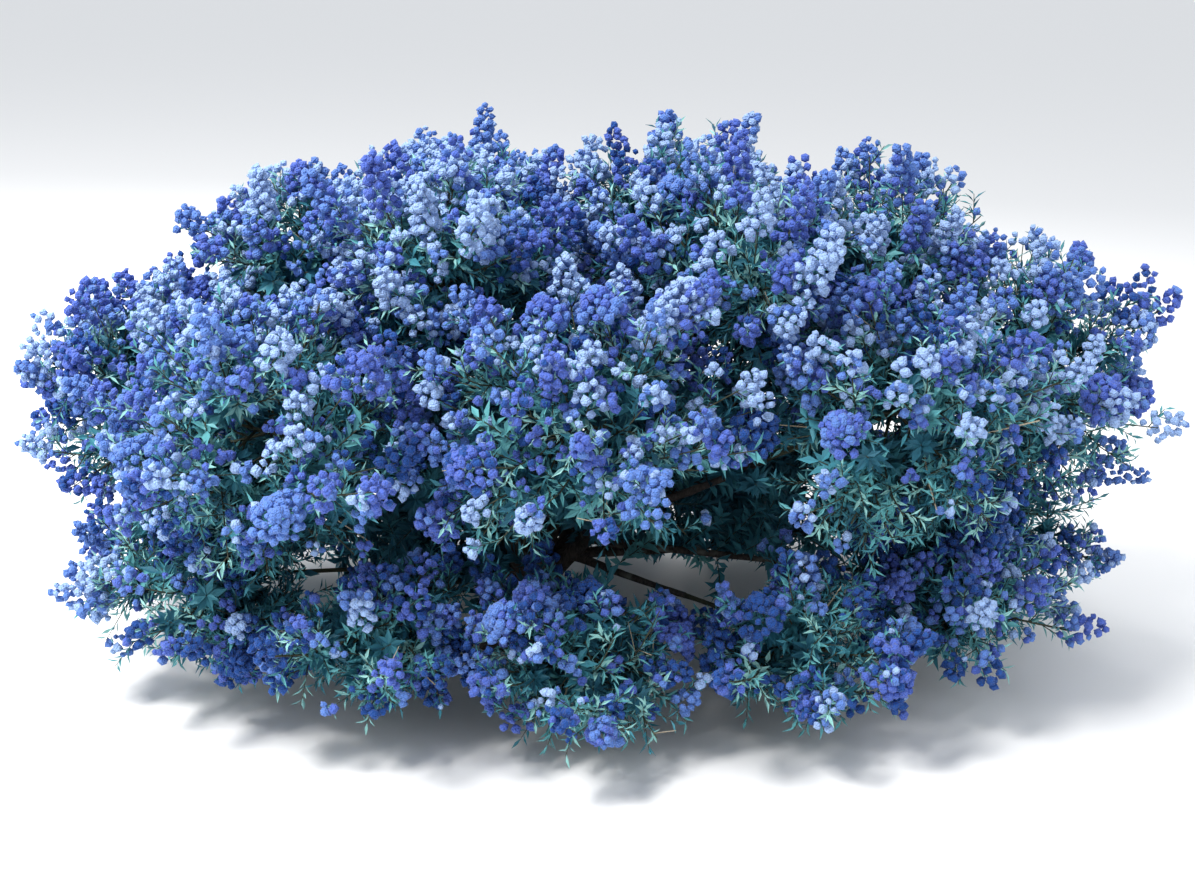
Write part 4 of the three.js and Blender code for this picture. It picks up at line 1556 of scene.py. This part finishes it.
@dataclass
class Flowering:
    """Which twigs end in flowers, and which stay in leaf.

    Attributes:
        rng: the draw.
        patches: where it flowers less or more.
        bouquets: where it flowers whatever else holds.
        bouquet: how wide a bouquet is.
        bouquet_chance: the chance in the middle of one.
        lump: how wide the lumps of blossom round the twigs' heads are.
        in_lump: what multiplies the chance in the middle of one.
        outside: what multiplies it between them.
        heights: by height, what multiplies it.
        light: how fast it grows with openness, and what is taken off it.
        downward: how fast it falls as a twig points down, and how far.
        leftward: what multiplies it at the right end, and what comes on top at the left.
        rim: height, and distance to the left or right of rim_x, past which twigs are on the crown's rim.
    """

    rng: np.random.Generator
    patches: tuple[Patch, ...] = (
        Patch((0.70, -0.95, 0.52), (0.62, 0.5, 0.30), 0.12),
        Patch((0.15, -1.0, 0.45), (0.5, 0.4, 0.2), 0.3),
        Patch((-0.24, -0.8, 0.30), (0.2, 0.35, 0.16), 0.35),
        Patch((0.22, -0.85, 0.90), (0.42, 0.4, 0.21), 3.2),
        Patch((-0.48, -0.88, 0.70), (0.42, 0.4, 0.28), 2.6),
        Patch((1.07, -0.75, 0.30), (0.34, 0.40, 0.20), 3.5),
        Patch((-0.14, -0.5, 1.18), (0.25, 0.4, 0.16), 2.2),
        Patch((0.80, -0.4, 1.15), (0.25, 0.4, 0.16), 2.2),
    )
    bouquets: tuple[Point, ...] = (
        (0.14, -0.76, 0.42), (0.03, -0.76, 0.40), (-0.64, -0.64, 0.20), (-0.32, -0.98, 0.90),
        (0.29, -1.05, 0.74), (0.39, -0.72, 0.27), (0.55, -0.87, 0.38), (0.74, -0.91, 0.81),
        (0.89, -0.83, 0.30), (0.40, -0.77, 1.03), (0.92, -0.46, 0.38), (-0.15, -0.66, 0.25),
        (-0.77, -0.89, 0.75), (-0.39, -1.01, 0.71),
    )
    bouquet: float = 0.085
    bouquet_chance: float = 0.9
    lump: float = 0.11
    in_lump: float = 1.7
    outside: float = 0.7
    heights: tuple[tuple[float, ...], tuple[float, ...]] = (
        (0, 0.45, 0.8, 1.15, 1.35), (0.8, 1.0, 1.1, 0.86, 0.56))
    light: Span = (2.9, 1.0)
    downward: Span = (1.2, 0.15)
    leftward: Span = (0.9, 0.35)
    rim: Span = (1.1, 1.2)
    rim_x: float = 0.19

    def _to_bouquets(self, tips: Array) -> Array:
        """How far tips (n, 3) lie from each bouquet: (n, bouquets)."""
        return np.linalg.norm(tips[:, None] - np.array(self.bouquets), axis=-1)

    def chance(self, twigs: Growth) -> Array:
        """The chance that twigs flower.

        It grows with how open the tip lies, is lower where the twig points down, near the ground and on the
        very top, and a little higher towards the left. Round the bouquets it is high whatever else holds.

        Args:
            twigs: the twigs.

        Returns:
            (n,) from 0 up, where 1 or more is certain.
        """
        tips, (fall, least), (slope, start) = twigs.tips, self.downward, self.light
        facing = np.clip(1 + fall * np.minimum(twigs.ways[:, 2], 0), least, 1)
        height = np.interp(tips[:, 2], *self.heights)
        left = np.clip(0.5 - tips[:, 0] / 3, 0, 1)
        side = self.leftward[0] + self.leftward[1] * left
        chance = np.clip(twigs.open * slope - start, 0, 1) * facing * height * side
        for patch in self.patches:
            chance = chance * patch.factor(tips)
        gap = self._to_bouquets(tips).min(axis=1)
        return chance + self.bouquet_chance * np.exp(-((gap / self.bouquet) ** 2))

    def pick(self, twigs: Growth, scale: float, lumps: Array | None = None) -> Array:
        """Draws which of a set of twigs flower.

        Args:
            twigs: the twigs.
            scale: multiplies their chances.
            lumps: (n, 3) the middles of lumps of blossom. Chances rise near them and fall between them.

        Returns:
            Booleans, one for each twig.
        """
        chance = scale * self.chance(twigs)
        if lumps is not None:
            gap = np.linalg.norm(twigs.tips[:, None] - lumps, axis=-1).min(axis=1)
            near = np.exp(-((gap / self.lump) ** 2))
            chance = chance * (self.outside + (self.in_lump - self.outside) * near)
        return self.rng.random(len(twigs.lines)) < chance

    def nearest(self, twigs: Growth) -> Array:
        """True for the twig whose tip lies nearest to each bouquet."""
        return np.isin(np.arange(len(twigs.lines)), self._to_bouquets(twigs.tips).argmin(axis=0))

    def on_rim(self, twigs: Growth) -> Array:
        """True for twigs that end high or far out on the crown."""
        return (twigs.tips[:, 2] > self.rim[0]) | (np.abs(twigs.tips[:, 0] - self.rim_x) > self.rim[1])

    def drawn(self, among: Array, share: float) -> Array:
        """Draws a share of the twigs that are True in an array."""
        return among & (self.rng.random(len(among)) < share)


# ---------- studio ----------


@dataclass
class Studio:
    """A plain pale floor, soft light, and a camera a little above the plant's middle."""

    target: Point = (0.205, 0.0, 0.54)
    distance: float = 4.93
    elevation: float = 15.0
    lens: float = 55.9
    sensor: float = 36.0
    floor_size: float = 400.0
    floor: Finish = Finish("floor", (0.88, 0.88, 0.88), (0.85, 0.95), 8, 0.0002)
    sky: Point = (0.93, 0.96, 1.0)
    sky_strength: float = 0.86
    # Name, place, size, watts and colour.
    lamps: tuple[tuple[str, Point, float, float, Point], ...] = (
        ("key", (-3.9, -3.6, 8.2), 3.0, 1700, (1.0, 0.985, 0.96)),
        ("fill", (3.6, -3.2, 2.4), 4.0, 70, (0.92, 0.95, 1.0)),
        ("rim", (-1.2, 5.4, 5.4), 3.5, 320, (1.0, 0.99, 0.97)),
    )

    def _lamp(self, name: str, place: Point, size: float, power: float, colour: Point) -> None:
        """Adds one square soft light that looks at the plant.

        Args:
            name: its name.
            place: where it stands.
            size: its width.
            power: in watts.
            colour: its colour.
        """
        data = bpy.data.lights.new(name, "AREA")
        data.energy, data.size, data.color = power, size, colour
        lamp = add_object(name, data)
        lamp.location = place
        way = np.array(self.target) - np.array(place)
        yaw, pitch = math.atan2(way[0], -way[1]), math.acos(-way[2] / np.linalg.norm(way))
        lamp.rotation_euler = (pitch, 0, -yaw + math.pi)

    def _camera(self) -> None:
        """Adds the camera: on the ray from the target towards the front, raised by its elevation."""
        data = bpy.data.cameras.new("camera")
        data.lens, data.sensor_width = self.lens, self.sensor
        camera = add_object("camera", data)
        rise = math.radians(self.elevation)
        back = np.array([0.0, -math.cos(rise), math.sin(rise)])
        camera.location = np.array(self.target) + self.distance * back
        camera.rotation_euler = (math.pi / 2 - rise, 0, 0)
        bpy.context.scene.camera = camera

    def _floor(self) -> None:
        """Adds the floor: one square, pale, with a faint grain."""
        half = self.floor_size / 2
        mesh = bpy.data.meshes.new("floor")
        corners = [(x * half, y * half, 0) for x, y in ((-1, -1), (1, -1), (1, 1), (-1, 1))]
        mesh.from_pydata(corners, [], [(0, 1, 2, 3)])
        mesh.materials.append(self.floor.material())
        add_object("floor", mesh)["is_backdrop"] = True

    def build(self) -> None:
        """Builds floor, lights, sky and camera."""
        scene = bpy.context.scene
        scene.view_settings.view_transform = "Standard"
        scene.world = bpy.data.worlds.new("sky")
        scene.world.use_nodes = True
        sky = scene.world.node_tree.nodes["Background"]
        sky.inputs["Color"].default_value = (*self.sky, 1)
        sky.inputs["Strength"].default_value = self.sky_strength
        self._floor()
        for lamp in self.lamps:
            self._lamp(*lamp)
        self._camera()


# ---------- the whole plant ----------


@dataclass
class Lilac:
    """The whole plant. The shares are of the twigs that could be so.

    chances holds what multiplies the chance to flower, for twigs, side twigs and shoots. Dry twigs have how
    open they lie at least, and their share.
    """

    rng: np.random.Generator
    chances: Point = (1.3, 1.1, 0.5)
    wide: float = 0.05
    tall: float = 0.17
    tall_on_rim: float = 0.5
    plumed: float = 0.22
    lone: float = 0.4
    dry_shoots: Span = (0.3, 0.03)
    dry_sides: Span = (0.5, 0.15)

    def build(self) -> None:
        """Grows the plant and dresses it, each piece of the scene in turn."""
        limbs = Limbs(Crown())
        branching = Branching(limbs.crown, limbs, self.rng)
        twigs, sides, sprigs = branching.twigs, branching.sides, branching.sprigs
        names = [mass.name for mass in limbs.crown.masses]
        LOG.info("%d twigs, %d side twigs, %d shoots", len(twigs.lines), len(sides.lines), len(sprigs.lines))

        flowering = Flowering(self.rng)
        on_twigs, on_sides, on_shoots = self.chances
        twig_heads = flowering.pick(twigs, on_twigs)
        lumps = twigs.tips[twig_heads]
        side_heads = flowering.pick(sides, on_sides, lumps)
        luck = self.rng.random(len(side_heads))
        wide = (side_heads & (luck < self.wide)) | flowering.nearest(sides)
        side_heads |= wide
        rim = flowering.on_rim(sides)
        tall = side_heads & ~wide & (luck < np.where(rim, self.tall_on_rim, self.tall))
        plumed = tall & rim & (luck < self.plumed)
        sprig_heads = flowering.pick(sprigs, on_shoots, lumps)
        lone = flowering.drawn(sprig_heads, self.lone)
        dry_sprigs, dry_sides = (
            flowering.drawn(~heads & (grown.open > least), share)
            for heads, grown, (least, share) in ((sprig_heads, sprigs, self.dry_shoots),
                                                 (side_heads, sides, self.dry_sides)))

        blossom = Blossom(self.rng)
        for grown, flowers, head in ((twigs, twig_heads, Head.SPIRE), (sides, wide, Head.DOME),
                                     (sides, tall & ~plumed, Head.SPIRE), (sides, plumed, Head.PLUME),
                                     (sides, side_heads & ~tall & ~wide, Head.CONE),
                                     (sprigs, sprig_heads & ~lone, Head.TUFT), (sprigs, lone, Head.LONE)):
            blossom.grow(grown.kept(flowers), head)
        LOG.info("%d heads", blossom.heads)

        leaves = Leaves(self.rng)  # for each order of twig: leaves on each, where, and of what kind
        for grown, count, span, leaf in (
            (sprigs.kept(~dry_sprigs), 8, (0.1, 0.98), Leaf.SMALL),
            (sides.kept(~dry_sides), 10, (0.45, 0.97), Leaf.SMALL),
            (sides, 10, (0.12, 0.6), Leaf.LARGE),
            (branching.inners, 36, (0.15, 1.0), Leaf.INNER),
            (branching.lows, 34, (0.1, 1.0), Leaf.INNER),
            (twigs, 18, (0.2, 0.95), Leaf.LARGE),
        ):
            leaves.grow(grown, count, span, leaf)

        limbs.dress()
        branching.dress(dry_sides, dry_sprigs, names)
        leaves.dress(names)
        blossom.dress(names)


def main() -> None:
    """Builds the studio and the plant."""
    logging.basicConfig(level=logging.INFO, format="%(message)s")
    Studio().build()
    Lilac(np.random.default_rng(SEED)).build()
    boxes = {"cad": CAD_BOX, "visual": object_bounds()}
    json.dumps({name: [list(corner) for corner in box] for name, box in boxes.items()})


if __name__ == "__main__":
    main()
